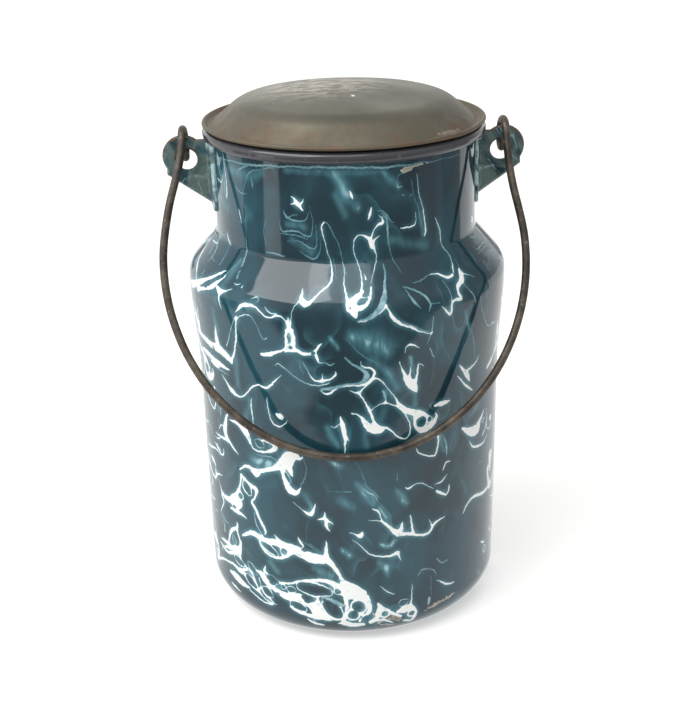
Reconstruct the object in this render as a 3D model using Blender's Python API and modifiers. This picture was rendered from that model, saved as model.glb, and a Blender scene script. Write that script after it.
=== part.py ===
"""Lidded milk pail: a drawn and enamelled steel can with a rolled rim, two welded ears, a wire bail
and a lift-off tinplate lid. Metres, +Z up, origin at the centre of the base, ears along X."""
import math

import bmesh
import bpy

# Facets and clearances
TURN_STEPS = 48                # facets round every turned piece
ROUND_ERROR = 0.00008          # how far a facet may lie inside a rounded profile
LARGEST_TURN = math.radians(34)
SEAT_GAP = 0.0003              # clearance between pieces that touch
MERGE_DISTANCE = 0.00001
CUT_OVERRUN = 0.002            # how far a cutter runs past what it cuts

# Pail body
WALL = 0.0009                  # enamelled sheet
BODY_RADIUS = 0.0635
BASE_DRAFT = 0.0006            # the wall draws in this much at the base
BASE_CORNER = 0.0139           # outer radius between base and wall
BULGE = 0.00215                # the shoulder band stands out from the wall by this much
FLARE_LENGTH = 0.0410          # length over which the wall swells into the band
FLARE_FACETS = 4
SHOULDER_HEIGHT = 0.1492       # where the shoulder's cone would meet the widest radius
SHOULDER_SLOPE = math.radians(49)
SHOULDER_ROUND = 0.0100
CREASE_ROUND = 0.0030
NECK_RADIUS = 0.0531
NECK_LENGTH = 0.03996          # from the crease to the centre of the rim's bead

# Rolled rim
RIM_WIRE_RADIUS = 0.00115
RIM_WIRE_SIDES = 8
ROLL_TURN = math.radians(297)  # how far the sheet curls round the wire

# Ears
EYE_REACH = 0.0648             # centre of the eye's edge from the pail's axis
EYE_DROP = 0.0097              # centre of the eye's edge below the bead's centre
EYE_RADIUS = 0.0086
HOLE_RADIUS = 0.00415
HOLE_INSET = 0.0012            # the hole sits nearer to the neck than the eye's centre
HOLE_DROP = 0.0013             # and lower
EAR_SHEET = 0.0020             # two layers of enamelled sheet pressed together
EAR_EDGE = 0.0004              # rounding of the ear's cut edges
EAR_TOP_DROP = 0.0030          # top edge of the ear at the neck, below the bead's centre
FOLD_THICKNESS = 0.0038        # the ear along its fold
FOLD_EDGE = 0.0012             # rounding along the fold
FOLD_START = math.radians(-35)  # where the fold leaves the eye's edge, seen from the eye's centre
FOLD_END = math.radians(-125)
TIP_OUTSET = 0.0072            # outer end of the fold, outside the centre of the eye's edge
TIP_DROP = 0.0170
FOLD_FOOT_DROP = 0.0302        # lower end of the fold, at the neck
FOOT_WALL = 0.0009
FOOT_TOP_WIDTH = 0.0100
FOOT_BOTTOM_WIDTH = 0.0210
FOOT_ROUND = 0.0025
FOOT_SHIFT = 0.0008            # the foot sits this much lower than the ear's top edge and fold

# Bail
BAIL_WIRE_RADIUS = 0.00165
BAIL_ROUND_STEPS = 2           # facets in a quarter of the wire's round
HOOK_RADIUS = 0.0056           # centre line of the hook round its pivot
HOOK_TURN = math.radians(292)  # how far the hook wraps
HOOK_DRIFT = 0.0011            # the hook drifts inward by this much from leg to tail
HOOK_REST = 0.0005             # clearance of the hook over the ear
LEG_OUTSET = 0.0001            # where a leg leaves its hook, outside the centre of the eye's edge
ARCH_OUTSET = 0.0068           # the arch at its widest, outside the legs' upper ends
ARCH_DROP = 0.0490             # distance from the pivot to the widest place
BAIL_DROP = 0.1287             # distance from the pivot to the lowest place
BAIL_SET = 0.0018              # the arch has been bent sideways by this much in use
SET_LENGTH = 0.0280            # length of leg over which it leans to that side
HOOK_FACETS = 20
LEG_FACETS = 8
ARCH_FACETS = 36

# Lid
LID_SHEET = 0.0005
CROWN_RADIUS = 0.1950          # radius of the low dome
CROWN_RISE = 0.01385           # top of the lid above its flange
DOME_REACH = 0.0453            # where the dome's rounded edge ends
DOME_ROUND = 0.0160
DOME_SLOPE = math.radians(40)
TROUGH_ROUND = 0.0020
FLANGE_RADIUS = 0.0568         # outer edge of the lid
HEM_RADIUS = 0.0008            # curl of the lid's edge
HEM_RISE = 0.0015              # the hem's top above the flange
HEM_SLOPE = math.radians(50)
COLLAR_WALL = 0.0005
COLLAR_DEPTH = 0.0120          # below the flange
COLLAR_LIP = 0.0030            # the lip soldered under the dome
COLLAR_LEAD = 0.0008           # the collar's lower edge draws in by this much
COLLAR_LEAD_LENGTH = 0.0020

# Places worked out from the sizes above
WIDEST_RADIUS = BODY_RADIUS + BULGE
CREASE_HEIGHT = SHOULDER_HEIGHT + (WIDEST_RADIUS - NECK_RADIUS) * math.tan(SHOULDER_SLOPE)
RIM_HEIGHT = CREASE_HEIGHT + NECK_LENGTH
ROLL_BORE = RIM_WIRE_RADIUS + SEAT_GAP
BEAD_CENTRE = NECK_RADIUS + ROLL_BORE
BEAD_TOP = RIM_HEIGHT + ROLL_BORE + WALL
EYE_HEIGHT = RIM_HEIGHT - EYE_DROP
TIP_REACH = EYE_REACH + TIP_OUTSET
HOLE_REACH = EYE_REACH - HOLE_INSET
HOLE_HEIGHT = EYE_HEIGHT - HOLE_DROP
EAR_TOP = RIM_HEIGHT - EAR_TOP_DROP
FOLD_FOOT = RIM_HEIGHT - FOLD_FOOT_DROP
FOOT_RADIUS = NECK_RADIUS + SEAT_GAP
PIVOT_HEIGHT = EYE_HEIGHT + EYE_RADIUS + HOOK_REST + BAIL_WIRE_RADIUS - HOOK_RADIUS
LEG_REACH = EYE_REACH + LEG_OUTSET
ARCH_REACH = LEG_REACH + ARCH_OUTSET
COLLAR_RADIUS = NECK_RADIUS - WALL - SEAT_GAP
FLANGE_TOP = BEAD_TOP + SEAT_GAP + LID_SHEET
CROWN_HEIGHT = FLANGE_TOP + CROWN_RISE
FULL_TURN = 2 * math.pi
HALF_TURN = math.pi
QUARTER_TURN = math.pi / 2


def clear_scene():
    for item in list(bpy.data.objects):
        bpy.data.objects.remove(item, do_unlink=True)


def make_collection(name):
    group = bpy.data.collections.new(name)
    bpy.context.scene.collection.children.link(group)
    return group


def make_material(name, colour, roughness, metallic):
    material = bpy.data.materials.new(name)
    material.use_nodes = True
    shader = material.node_tree.nodes["Principled BSDF"]
    shader.inputs["Base Color"].default_value = (*colour, 1.0)
    shader.inputs["Roughness"].default_value = roughness
    shader.inputs["Metallic"].default_value = metallic
    material.diffuse_color = (*colour, 1.0)
    return material


def link(item, group, material=None):
    group.objects.link(item)
    if material:
        item.data.materials.append(material)
    return item


def move_to(item, name, group, material):
    """Names a new primitive and moves it into a collection."""
    item.name = name
    for owner in list(item.users_collection):
        owner.objects.unlink(item)
    return link(item, group, material)


def arc(centre, radius, start, end):
    """Points (r, z) along an arc from the start angle to the end angle, both ends included."""
    turn = min(LARGEST_TURN, 2 * math.acos(1 - ROUND_ERROR / radius))
    count = math.ceil(abs(end - start) / turn)
    angles = [start + (end - start) * i / count for i in range(count + 1)]
    return [(centre[0] + radius * math.cos(a), centre[1] + radius * math.sin(a)) for a in angles]


def rounded_path(corners):
    """A profile through corners (r, z, radius), each rounded by an arc of its radius, where the radius is
    limited by the straight stretches beside it."""
    path = []
    for i, (r, z, radius) in enumerate(corners):
        if radius == 0 or i in (0, len(corners) - 1):
            path.append((r, z))
            continue
        before = (corners[i - 1][0] - r, corners[i - 1][1] - z)
        after = (corners[i + 1][0] - r, corners[i + 1][1] - z)
        length_before = math.hypot(*before)
        length_after = math.hypot(*after)
        before = (before[0] / length_before, before[1] / length_before)
        after = (after[0] / length_after, after[1] / length_after)
        half = math.acos(max(-1, min(1, before[0] * after[0] + before[1] * after[1]))) / 2
        reach = min(radius / math.tan(half), length_before / 2, length_after / 2)
        radius = reach * math.tan(half)
        middle = (before[0] + after[0], before[1] + after[1])
        scale = radius / math.sin(half) / math.hypot(*middle)
        centre = (r + middle[0] * scale, z + middle[1] * scale)
        start = math.atan2(z + before[1] * reach - centre[1], r + before[0] * reach - centre[0])
        end = math.atan2(z + after[1] * reach - centre[1], r + after[0] * reach - centre[0])
        if end - start > HALF_TURN:
            end -= FULL_TURN
        if start - end > HALF_TURN:
            end += FULL_TURN
        path += arc(centre, radius, start, end)
    return path


def turned_shell(name, path, wall, group, material):
    """A sheet turned about Z from a path (r, z) along its outer face, listed from top to bottom."""
    mesh = bpy.data.meshes.new(name)
    edges = [(i, i + 1) for i in range(len(path) - 1)]
    mesh.from_pydata([(r, 0, z) for r, z in path], edges, [])
    item = link(bpy.data.objects.new(name, mesh), group, material)
    screw = item.modifiers.new("Turn", "SCREW")
    screw.axis = "Z"
    screw.steps = TURN_STEPS
    screw.render_steps = TURN_STEPS
    screw.use_merge_vertices = True
    screw.merge_threshold = MERGE_DISTANCE
    screw.use_smooth_shade = True
    sheet = item.modifiers.new("Wall", "SOLIDIFY")
    sheet.thickness = wall
    sheet.offset = -1
    sheet.use_even_offset = True
    return item


def smooth_rise(share):
    """Rises from 0 to 1 with no slope at either end."""
    share = min(1, max(0, share))
    return share * share * (3 - 2 * share)


def body_path():
    """Outer face of the pail, from the end of the rim's curl down the neck, shoulder and wall to the
    middle of the base."""
    curl = arc((BEAD_CENTRE, RIM_HEIGHT), ROLL_BORE, HALF_TURN - ROLL_TURN, HALF_TURN)
    flare_top = SHOULDER_HEIGHT - SHOULDER_ROUND * math.tan((QUARTER_TURN - SHOULDER_SLOPE) / 2)
    shoulder = rounded_path([
        (NECK_RADIUS, RIM_HEIGHT, 0),
        (NECK_RADIUS, CREASE_HEIGHT, CREASE_ROUND),
        (WIDEST_RADIUS, SHOULDER_HEIGHT, SHOULDER_ROUND),
        (WIDEST_RADIUS, flare_top - FLARE_LENGTH, 0),
    ])[1:-1]
    flare = []
    for i in range(1, FLARE_FACETS + 1):
        share = i / FLARE_FACETS
        flare.append((WIDEST_RADIUS - BULGE * smooth_rise(share), flare_top - FLARE_LENGTH * share))
    base = rounded_path([
        (BODY_RADIUS, flare_top - FLARE_LENGTH, 0),
        (BODY_RADIUS - BASE_DRAFT, 0, BASE_CORNER),
        (0, 0, 0),
    ])[1:]
    return curl + shoulder + flare + base


def dome_corners():
    """Where the crown meets the dome's rounded edge, the slope there, and the dome's foot."""
    turn = math.asin((DOME_REACH - DOME_ROUND * math.sin(DOME_SLOPE)) / (CROWN_RADIUS - DOME_ROUND))
    crown_reach = CROWN_RADIUS * math.sin(turn)
    crown_edge = CROWN_HEIGHT - CROWN_RADIUS * (1 - math.cos(turn))
    dome_edge = crown_edge - DOME_ROUND * (math.cos(turn) - math.cos(DOME_SLOPE))
    foot_reach = DOME_REACH + (dome_edge - FLANGE_TOP) / math.tan(DOME_SLOPE)
    return turn, crown_reach, crown_edge, foot_reach


def lid_path():
    """Upper face of the lid, from its crown over the dome's edge, down into the flange and round the
    curled hem."""
    turn, crown_reach, crown_edge, foot_reach = dome_corners()
    crown = arc((0, CROWN_HEIGHT - CROWN_RADIUS), CROWN_RADIUS, QUARTER_TURN, QUARTER_TURN - turn)
    edge_centre = (crown_reach - DOME_ROUND * math.sin(turn), crown_edge - DOME_ROUND * math.cos(turn))
    edge = arc(edge_centre, DOME_ROUND, QUARTER_TURN - turn, QUARTER_TURN - DOME_SLOPE)[1:]
    hem_centre = (FLANGE_RADIUS - HEM_RADIUS, FLANGE_TOP + HEM_RISE - HEM_RADIUS)
    hem = arc(hem_centre, HEM_RADIUS, QUARTER_TURN + HEM_SLOPE, -QUARTER_TURN)
    hem_foot = hem[0][0] - (hem[0][1] - FLANGE_TOP) / math.tan(HEM_SLOPE)
    flange = rounded_path([
        (*edge[-1], 0),
        (foot_reach, FLANGE_TOP, TROUGH_ROUND),
        (hem_foot, FLANGE_TOP, TROUGH_ROUND),
        (*hem[0], 0),
    ])[1:-1]
    return crown + edge + flange + hem


def collar_path():
    """Outer face of the lid's collar: the lip that lies under the dome, then the plug down the neck."""
    rise = math.tan(DOME_SLOPE)
    below = (LID_SHEET + SEAT_GAP) / math.cos(DOME_SLOPE)
    corner = FLANGE_TOP + (dome_corners()[-1] - COLLAR_RADIUS) * rise - below
    bottom = FLANGE_TOP - LID_SHEET - COLLAR_DEPTH
    return [
        (COLLAR_RADIUS - COLLAR_LIP, corner + COLLAR_LIP * rise),
        (COLLAR_RADIUS, corner),
        (COLLAR_RADIUS, bottom + COLLAR_LEAD_LENGTH),
        (COLLAR_RADIUS - COLLAR_LEAD, bottom),
    ]


def make_rim_wire(group, material):
    """The wire inside the rolled rim."""
    bpy.ops.mesh.primitive_torus_add(
        major_radius=BEAD_CENTRE, minor_radius=RIM_WIRE_RADIUS, major_segments=TURN_STEPS,
        minor_segments=RIM_WIRE_SIDES, location=(0, 0, RIM_HEIGHT))
    wire = move_to(bpy.context.object, "rim_wire", group, material)
    wire.data.shade_smooth()


def as_mesh(item, group):
    """Replaces a curve object by a closed mesh in the same place."""
    bpy.context.view_layer.update()
    mesh = bpy.data.meshes.new_from_object(item.evaluated_get(bpy.context.evaluated_depsgraph_get()))
    solid = bmesh.new()
    solid.from_mesh(mesh)
    bmesh.ops.remove_doubles(solid, verts=solid.verts, dist=MERGE_DISTANCE)
    bmesh.ops.recalc_face_normals(solid, faces=solid.faces)
    solid.to_mesh(mesh)
    solid.free()
    closed = link(bpy.data.objects.new(item.name + "_solid", mesh), group)
    closed.matrix_world = item.matrix_world
    bpy.data.objects.remove(item, do_unlink=True)
    return closed


def flat_piece(name, outlines, thickness, edge, group, material):
    """A plate on the XZ plane with rounded edges, from closed outlines (x, z): the outer one first, then
    its holes."""
    curve = bpy.data.curves.new(name, "CURVE")
    curve.dimensions = "2D"
    curve.fill_mode = "BOTH"
    curve.extrude = thickness / 2 - edge
    curve.bevel_depth = edge
    curve.bevel_resolution = 1
    curve.offset = -edge
    for outline in outlines:
        spline = curve.splines.new("POLY")
        spline.points.add(len(outline) - 1)
        spline.use_cyclic_u = True
        for point, (x, z) in zip(spline.points, outline):
            point.co = (x, z, 0, 1)
    item = link(bpy.data.objects.new(name, curve), group, material)
    item.rotation_euler = (QUARTER_TURN, 0, 0)
    plate = as_mesh(item, group)
    plate.name = name
    return plate


def combine(item, other, operation, solver="EXACT"):
    """Joins or cuts an object with another, which then stays out of sight as a guide."""
    boolean = item.modifiers.new(operation.capitalize(), "BOOLEAN")
    boolean.operation = operation
    boolean.solver = solver
    boolean.object = other
    other.hide_render = True
    other.display_type = "WIRE"


def ear_foot(name, cutters, material):
    """The ear's foot: a saddle out of a ring that fits the neck, wider at its bottom than at its top."""
    top = EAR_TOP - FOOT_SHIFT
    bottom = FOLD_FOOT - FOOT_SHIFT
    outer = FOOT_RADIUS + FOOT_WALL
    ring = turned_shell(name + "_foot", [(outer, top + CUT_OVERRUN), (outer, bottom - CUT_OVERRUN)],
                        FOOT_WALL + CUT_OVERRUN / 2, cutters, material)
    corners = [
        (-FOOT_TOP_WIDTH / 2, top, FOOT_ROUND), (FOOT_TOP_WIDTH / 2, top, FOOT_ROUND),
        (FOOT_BOTTOM_WIDTH / 2, bottom, FOOT_ROUND), (-FOOT_BOTTOM_WIDTH / 2, bottom, FOOT_ROUND),
    ]
    outline = rounded_path(corners[-1:] + corners + corners[:1])[1:-1]
    window = flat_piece(name + "_foot_window", [outline], EYE_REACH, 0, cutters, material)
    window.rotation_euler = (QUARTER_TURN, 0, QUARTER_TURN)
    window.location = (EYE_REACH, 0, 0)
    combine(ring, window, "INTERSECT")
    return ring, window


def make_ear(name, turn, group, cutters, material):
    """One ear, joined from the flat plate round the eye, the thicker part along the fold and the foot,
    and then cut to the neck."""
    eye = (EYE_REACH, EYE_HEIGHT)
    root = FOOT_RADIUS - CUT_OVERRUN
    tip = (TIP_REACH, RIM_HEIGHT - TIP_DROP)
    eye_top = HALF_TURN - math.asin((EAR_TOP - EYE_HEIGHT) / EYE_RADIUS)
    under_eye = arc(eye, EYE_RADIUS, FOLD_START, FOLD_END)
    plate_foot = under_eye[-1][1] - FOLD_EDGE - EAR_EDGE
    edge = [(root, EAR_TOP)] + arc(eye, EYE_RADIUS, eye_top, FOLD_START)
    edge += [(EYE_REACH, plate_foot), (root, plate_foot)]
    hole = arc((HOLE_REACH, HOLE_HEIGHT), HOLE_RADIUS, 0, FULL_TURN)[:-1]
    plate = flat_piece(name, [edge, hole], EAR_SHEET, EAR_EDGE, group, material)
    fold_slope = (tip[1] - FOLD_FOOT) / (TIP_REACH - FOOT_RADIUS)
    fold_root = root - EAR_EDGE
    fold_edge = [tip] + under_eye
    fold_edge += [(fold_root, under_eye[-1][1]),
                  (fold_root, FOLD_FOOT + fold_slope * (fold_root - FOOT_RADIUS))]
    fold = flat_piece(name + "_fold", [fold_edge], FOLD_THICKNESS, FOLD_EDGE, cutters, material)
    foot, window = ear_foot(name, cutters, material)
    bpy.ops.mesh.primitive_cylinder_add(
        vertices=TURN_STEPS, radius=FOOT_RADIUS, depth=2 * (EAR_TOP - FOLD_FOOT), location=(0, 0, EYE_HEIGHT))
    neck = move_to(bpy.context.object, name + "_neck", cutters, material)
    combine(plate, fold, "UNION", "MANIFOLD")
    combine(plate, foot, "UNION", "MANIFOLD")
    combine(plate, neck, "DIFFERENCE", "MANIFOLD")
    seat = link(bpy.data.objects.new(name + "_seat", None), group)
    seat.rotation_euler = (0, 0, turn)
    for piece in (plate, fold, foot, window, neck):
        piece.parent = seat


def bail_half():
    """Half of the bail's centre line (x, y, z) in its own frame, from the tail of the hook at +X to the
    lowest place. The pivot runs along X through the origin and the leg hangs down in front of it."""
    points = []
    for i in range(HOOK_FACETS):
        share = 1 - i / HOOK_FACETS
        angle = HALF_TURN - HOOK_TURN * share
        points.append((LEG_REACH - HOOK_DRIFT * share, HOOK_RADIUS * math.cos(angle),
                       HOOK_RADIUS * math.sin(angle)))
    for i in range(LEG_FACETS):
        share = i / LEG_FACETS
        reach = LEG_REACH + (ARCH_REACH - LEG_REACH) * smooth_rise(share)
        points.append((reach, -HOOK_RADIUS, -ARCH_DROP * share))
    for i in range(ARCH_FACETS // 2 + 1):
        angle = HALF_TURN * i / ARCH_FACETS
        depth = ARCH_DROP + (BAIL_DROP - ARCH_DROP) * math.sin(angle)
        points.append((ARCH_REACH * math.cos(angle), -HOOK_RADIUS, -depth))
    return points


def make_bail(group, material):
    """The bail, leaning on the front of the body. Its origin is on its pivot."""
    half = bail_half()
    other_half = [(-x, y, z) for x, y, z in reversed(half[:-1])]
    curve = bpy.data.curves.new("bail", "CURVE")
    curve.dimensions = "3D"
    curve.bevel_depth = BAIL_WIRE_RADIUS
    curve.bevel_resolution = BAIL_ROUND_STEPS
    curve.use_fill_caps = True
    spline = curve.splines.new("POLY")
    spline.points.add(len(half) + len(other_half) - 1)
    for point, (x, y, z) in zip(spline.points, half + other_half):
        hanging = y == -HOOK_RADIUS
        point.co = (x - hanging * BAIL_SET * smooth_rise(-z / SET_LENGTH), y, z, 1)
    bail = link(bpy.data.objects.new("bail", curve), group, material)
    reach = BODY_RADIUS + SEAT_GAP + BAIL_WIRE_RADIUS
    lean = math.asin(reach / math.hypot(HOOK_RADIUS, BAIL_DROP)) - math.atan2(HOOK_RADIUS, BAIL_DROP)
    bail.location = (0, 0, PIVOT_HEIGHT)
    bail.rotation_euler = (-lean, 0, 0)


def main():
    clear_scene()
    parts = make_collection("lidded_milk_pail")
    cutters = make_collection("cutters")
    enamel = make_material("enamel", (0.022, 0.085, 0.100), 0.12, 0.0)
    tin = make_material("tin", (0.190, 0.170, 0.140), 0.45, 0.9)
    iron = make_material("iron", (0.085, 0.070, 0.055), 0.55, 0.8)
    turned_shell("pail_body", body_path(), WALL, parts, enamel)
    make_rim_wire(parts, iron)
    make_ear("right_ear", 0, parts, cutters, enamel)
    make_ear("left_ear", HALF_TURN, parts, cutters, enamel)
    make_bail(parts, iron)
    turned_shell("lid_top", lid_path(), LID_SHEET, parts, tin)
    turned_shell("lid_collar", collar_path(), COLLAR_WALL, parts, tin)


main()
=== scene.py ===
"""Looks of the lidded milk pail: swirl enamel over the can and its ears, a tarnished tin lid and a
rusty wire bail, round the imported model. Metres, +Z up, the bail at the front (-Y)."""
import math

import bpy
import numpy as np
from mathutils import Matrix


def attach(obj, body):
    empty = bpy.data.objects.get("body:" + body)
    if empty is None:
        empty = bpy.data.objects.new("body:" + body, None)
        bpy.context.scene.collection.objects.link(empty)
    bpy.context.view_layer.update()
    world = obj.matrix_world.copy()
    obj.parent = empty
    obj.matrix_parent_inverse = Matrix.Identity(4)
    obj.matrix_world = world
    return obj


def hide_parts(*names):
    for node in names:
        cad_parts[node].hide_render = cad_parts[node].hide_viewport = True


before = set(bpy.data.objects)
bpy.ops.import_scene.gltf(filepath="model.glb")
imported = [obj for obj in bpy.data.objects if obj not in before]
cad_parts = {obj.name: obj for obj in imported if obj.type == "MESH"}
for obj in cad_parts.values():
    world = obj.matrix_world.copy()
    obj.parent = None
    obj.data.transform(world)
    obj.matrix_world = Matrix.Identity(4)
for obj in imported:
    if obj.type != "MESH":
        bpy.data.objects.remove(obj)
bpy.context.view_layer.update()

MM = 0.001
QUARTER = math.pi / 2
HALF = math.pi
FULL = 2 * math.pi
TINY = 1e-12                           # keeps a division from failing

# Photograph: where its camera stood, and its frame
CAMERA_PLACE = (-0.0257, -0.5161, 0.3133)
CAMERA_PITCH = math.radians(21.84)     # looks down by this much
CAMERA_YAW = math.radians(2.9)         # and to the right
CAMERA_ROLL = math.radians(-1.28)
CAMERA_CLIP = 0.02
PHOTO_WIDTH = 700
PHOTO_HEIGHT = 703
FOCAL_PIXELS = 1294
SENSOR_WIDTH = 36
RAY_REACH = (0.40, 0.75)               # the can lies between these lengths of a ray
RAY_STEPS = 3501

# Can
WALL = 0.0009
BODY_RADIUS = 0.0635
BASE_DRAFT = 0.0006
BASE_CORNER = 0.0139
BULGE = 0.00215
FLARE_LENGTH = 0.0410
SHOULDER_HEIGHT = 0.1492
SHOULDER_SLOPE = math.radians(49)
SHOULDER_ROUND = 0.0100
CREASE_ROUND = 0.0030
NECK_RADIUS = 0.0531
NECK_LENGTH = 0.03996
ROLL_BORE = 0.00145
ROLL_TURN = math.radians(297)
WIDEST_RADIUS = BODY_RADIUS + BULGE
CREASE_HEIGHT = SHOULDER_HEIGHT + (WIDEST_RADIUS - NECK_RADIUS) * math.tan(SHOULDER_SLOPE)
RIM_HEIGHT = CREASE_HEIGHT + NECK_LENGTH
BEAD_CENTRE = NECK_RADIUS + ROLL_BORE
BEAD_RADIUS = ROLL_BORE + WALL
BASE_STEPS = 6                         # points of the outline across the base
FRONT_HALF = math.radians(75)          # the front of the can, which has the closer columns
FRONT_STEPS = 200
BACK_STEPS = 100
FACE_TRIM = 0.00006                    # room for the white on the can's face
LINING_START_SHARE = 0.80              # how far over the bead the pale lining starts

# Ears
SEAT_GAP = 0.0003                      # between pieces that touch
EYE_REACH = 0.0648
EYE_HEIGHT = RIM_HEIGHT - 0.0097
EYE_RADIUS = 0.0086
HOLE_REACH = EYE_REACH - 0.0012
HOLE_HEIGHT = EYE_HEIGHT - 0.0013
HOLE_RADIUS = 0.00415
EYE_TRIM = 0.00005                     # keeps the round eye inside the faceted one
EAR_TOP = RIM_HEIGHT - 0.0030
EAR_ROOT_SINK = 0.0004                 # the ear's edge starts this far inside the neck's face
EAR_HALF = 0.0010                      # half of the pressed sheet round the eye
FOLD_HALF = 0.0019                     # half of the puffed fold
FOLD_START = math.radians(-35)
TIP_REACH = EYE_REACH + 0.0072
TIP_HEIGHT = RIM_HEIGHT - 0.0170
TIP_ROUND = 0.0011
FOLD_FOOT = RIM_HEIGHT - 0.0302
FOLD_FOOT_SPARE = 0.0003
PUFF_MARGIN = 0.0005                   # the fold puffs up from this far inside the eye's edge
PUFF_DROP = 0.0066                     # and from this far below the eye's middle
PUFF_TILT = 0.18
PUFF_LEAD = 0.0002
PUFF_LENGTH = 0.0014
EDGE_ROUND_SHARE = 0.9                 # how far the edge is rounded, as a share of half the thickness
HOLE_ROUND = 0.0008
RUB_REACH = 0.0016                     # how far from the hole and the edge the bail has rubbed
RUB_DEPTH = 0.003
RUB_FADE = 0.004
TIP_RUB_REACH = 0.002
FOOT_WALL = 0.0009
FOOT_TOP_WIDTH = 0.0100
FOOT_BOTTOM_WIDTH = 0.0210
FOOT_ROUND = 0.0025
FOOT_SHIFT = 0.0008                    # it sits this much lower than the ear's root
FOOT_SINK = 0.0001
FOOT_INSIDE = 0.0005
FOOT_EDGE = 0.0012
FOOT_HOLLOW = 0.0024                   # radius of the rounding up to the ear
FOOT_HOLLOW_RISE = 0.007
FOOT_OVERLAP = 0.0002
FOOT_GLINT_REACH = 0.0030               # the painted highlight, pale glints along its border, reaches this far in
FOLD_DROP = 0.007                      # the ear is as thick as its fold this far below the eye

# Bail
BAIL_WIRE_RADIUS = 0.00165
HOOK_RADIUS = 0.0056
HOOK_TURN = math.radians(292)
HOOK_DRIFT = 0.0011
HOOK_PLAY = 0.0005
PIVOT_HEIGHT = EYE_HEIGHT + EYE_RADIUS + HOOK_PLAY + BAIL_WIRE_RADIUS - HOOK_RADIUS
LEG_REACH = EYE_REACH + 0.0001
ARCH_REACH = LEG_REACH + 0.0068
ARCH_DROP = 0.0490
BAIL_DROP = 0.1287
BAIL_SET = 0.0018                      # the arch hangs this far to the left
SET_LENGTH = 0.0280
BAIL_TRIM = 0.00004                    # keeps the round wire inside the faceted one
WIRE_END_ROUND = 0.0011
WIRE_END_START = 0.00002
WIRE_WEAR_SHARE = 0.012                # the wire is thinner here and there by up to twice this share
WIRE_WAVE = 0.0043
WIRE_WAVE_BEND = 0.011

# Lid
LID_SHEET = 0.0005
FLANGE_TOP = RIM_HEIGHT + BEAD_RADIUS + SEAT_GAP + LID_SHEET
CROWN_RADIUS = 0.1950
CROWN_HEIGHT = FLANGE_TOP + 0.01385
DOME_REACH = 0.0453
DOME_ROUND = 0.0160
DOME_SLOPE = math.radians(40)
TROUGH_ROUND = 0.0020
FLANGE_RADIUS = 0.0568
HEM_RADIUS = 0.0008
HEM_RISE = 0.0015
HEM_SLOPE = math.radians(50)
COLLAR_WALL = 0.0005
COLLAR_DEPTH = 0.0120
COLLAR_LIP = 0.0030
COLLAR_ROUND = 0.0012
COLLAR_LEAD = 0.0008
COLLAR_LEAD_LENGTH = 0.0020
COLLAR_LEAD_ROUND = 0.003
COLLAR_RADIUS = NECK_RADIUS - WALL - SEAT_GAP
SEAM_RISE = 0.00012                    # of the collar's soldered seam
SEAM_TURN = 1.9
SEAM_REACH = 0.0022
# Shallow dents: (x, y, spread) and how deep in millimetres
DENTS = ((0.018, -0.020, 0.010, 0.22), (-0.022, -0.012, 0.013, 0.18), (0.004, 0.024, 0.015, 0.25),
         (-0.005, -0.030, 0.006, 0.12), (0.030, 0.014, 0.009, 0.15), (0.0395, -0.0331, 0.005, 0.5),
         (0.045, -0.026, 0.004, 0.35))
SCUFF_PLACE = (-0.008, 0.006)
SCUFF_REACH = (0.010, 0.036)
EDGE_REACH = (0.0400, 0.0570)          # the lid is browner between these radii
EDGE_RAG = 0.006
PATCH_TURN = math.radians(-42)         # the rusty patch on the flange
PATCH_HALF_TURN = 0.17
PATCH_RADIUS = 0.0532
PATCH_HALF_WIDTH = 0.0023
# A painted highlight on the crown: a small dull white dot
PAINTED_GLINT_PLACE = (0.0028, -0.0192)
PAINTED_GLINT_REACH = (0.0006, 0.0008)

# White enamel on the can, drawn on a grid over its unrolled face
UNROLL_RADIUS = 0.064
GRID_STEP = 0.00030
SHEET_SPAN = math.radians(104)         # the drawing reaches this far round from the front
SIDE_SPAN = math.radians(40)           # the drawings on the can's sides reach this far both ways
SHEET_FOOT = 0.043                     # where the drawings start along the outline, on the base
SHEET_EDGE = 0.004                     # strokes stay this far from a drawing's sides
SHEET_PARTING = 0.1350                 # the lower sheet of white ends and the upper one starts here
RIM_SPARE = 0.0016                     # they end this far below the rim
WINDOW_SPARE = 0.001                   # worked out round a stroke, besides its own width
NOWHERE = -0.02                        # the depth where nothing is drawn
BLEND = 0.0010                         # how far strokes run together where they meet
CELL_BLEND = 0.0002
VEIN_FADE = 0.0002
WHITE_SINK = 0.00006                   # the sheet's back lies this far inside the can's face
WHITE_LIFT = 0.000018
WHITE_CROWN = 0.00004
WHITE_EDGE = 0.0006                    # the white is raised by its crown this far in from its edge
LEAST_SLOPE_SQUARED = 0.04
SHARP_ANGLE = math.radians(50)
WOBBLE = 0.00010
WOBBLE_ACROSS = (0.00105, 0.0021, 1.3, 0.0017, 0.00043, 0.0009)
WOBBLE_UP = (0.00093, 0.0024, 1.1, 0.0019, 0.00047, 0.0011)
BROAD_WAVES = (0.021, 0.017)
GLOW_REACH = 0.0011                    # the teal glow round the white
GLOW_GAIN = 1.9
GLOW_LOSS = 0.12
GLOW_MOST = 0.72
CLOUD_GAIN = 1.25
CLOUD_FALL = 1.3
CHIP_FADE = 0.0006
# Each drawing's middle as a turn, its span, and how its strokes are moved up, bent and phased
DRAWINGS = {
    "front_white": (-QUARTER, SHEET_SPAN, 0.0, 0.0, 0.0),
    "back_white": (QUARTER, SHEET_SPAN, -0.006, 0.0012, 2.0),
    "right_white": (math.radians(2), SIDE_SPAN, -0.017, 0.0016, 4.0),
    "left_white": (math.radians(176), SIDE_SPAN, 0.013, 0.0018, 5.5),
}

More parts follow.
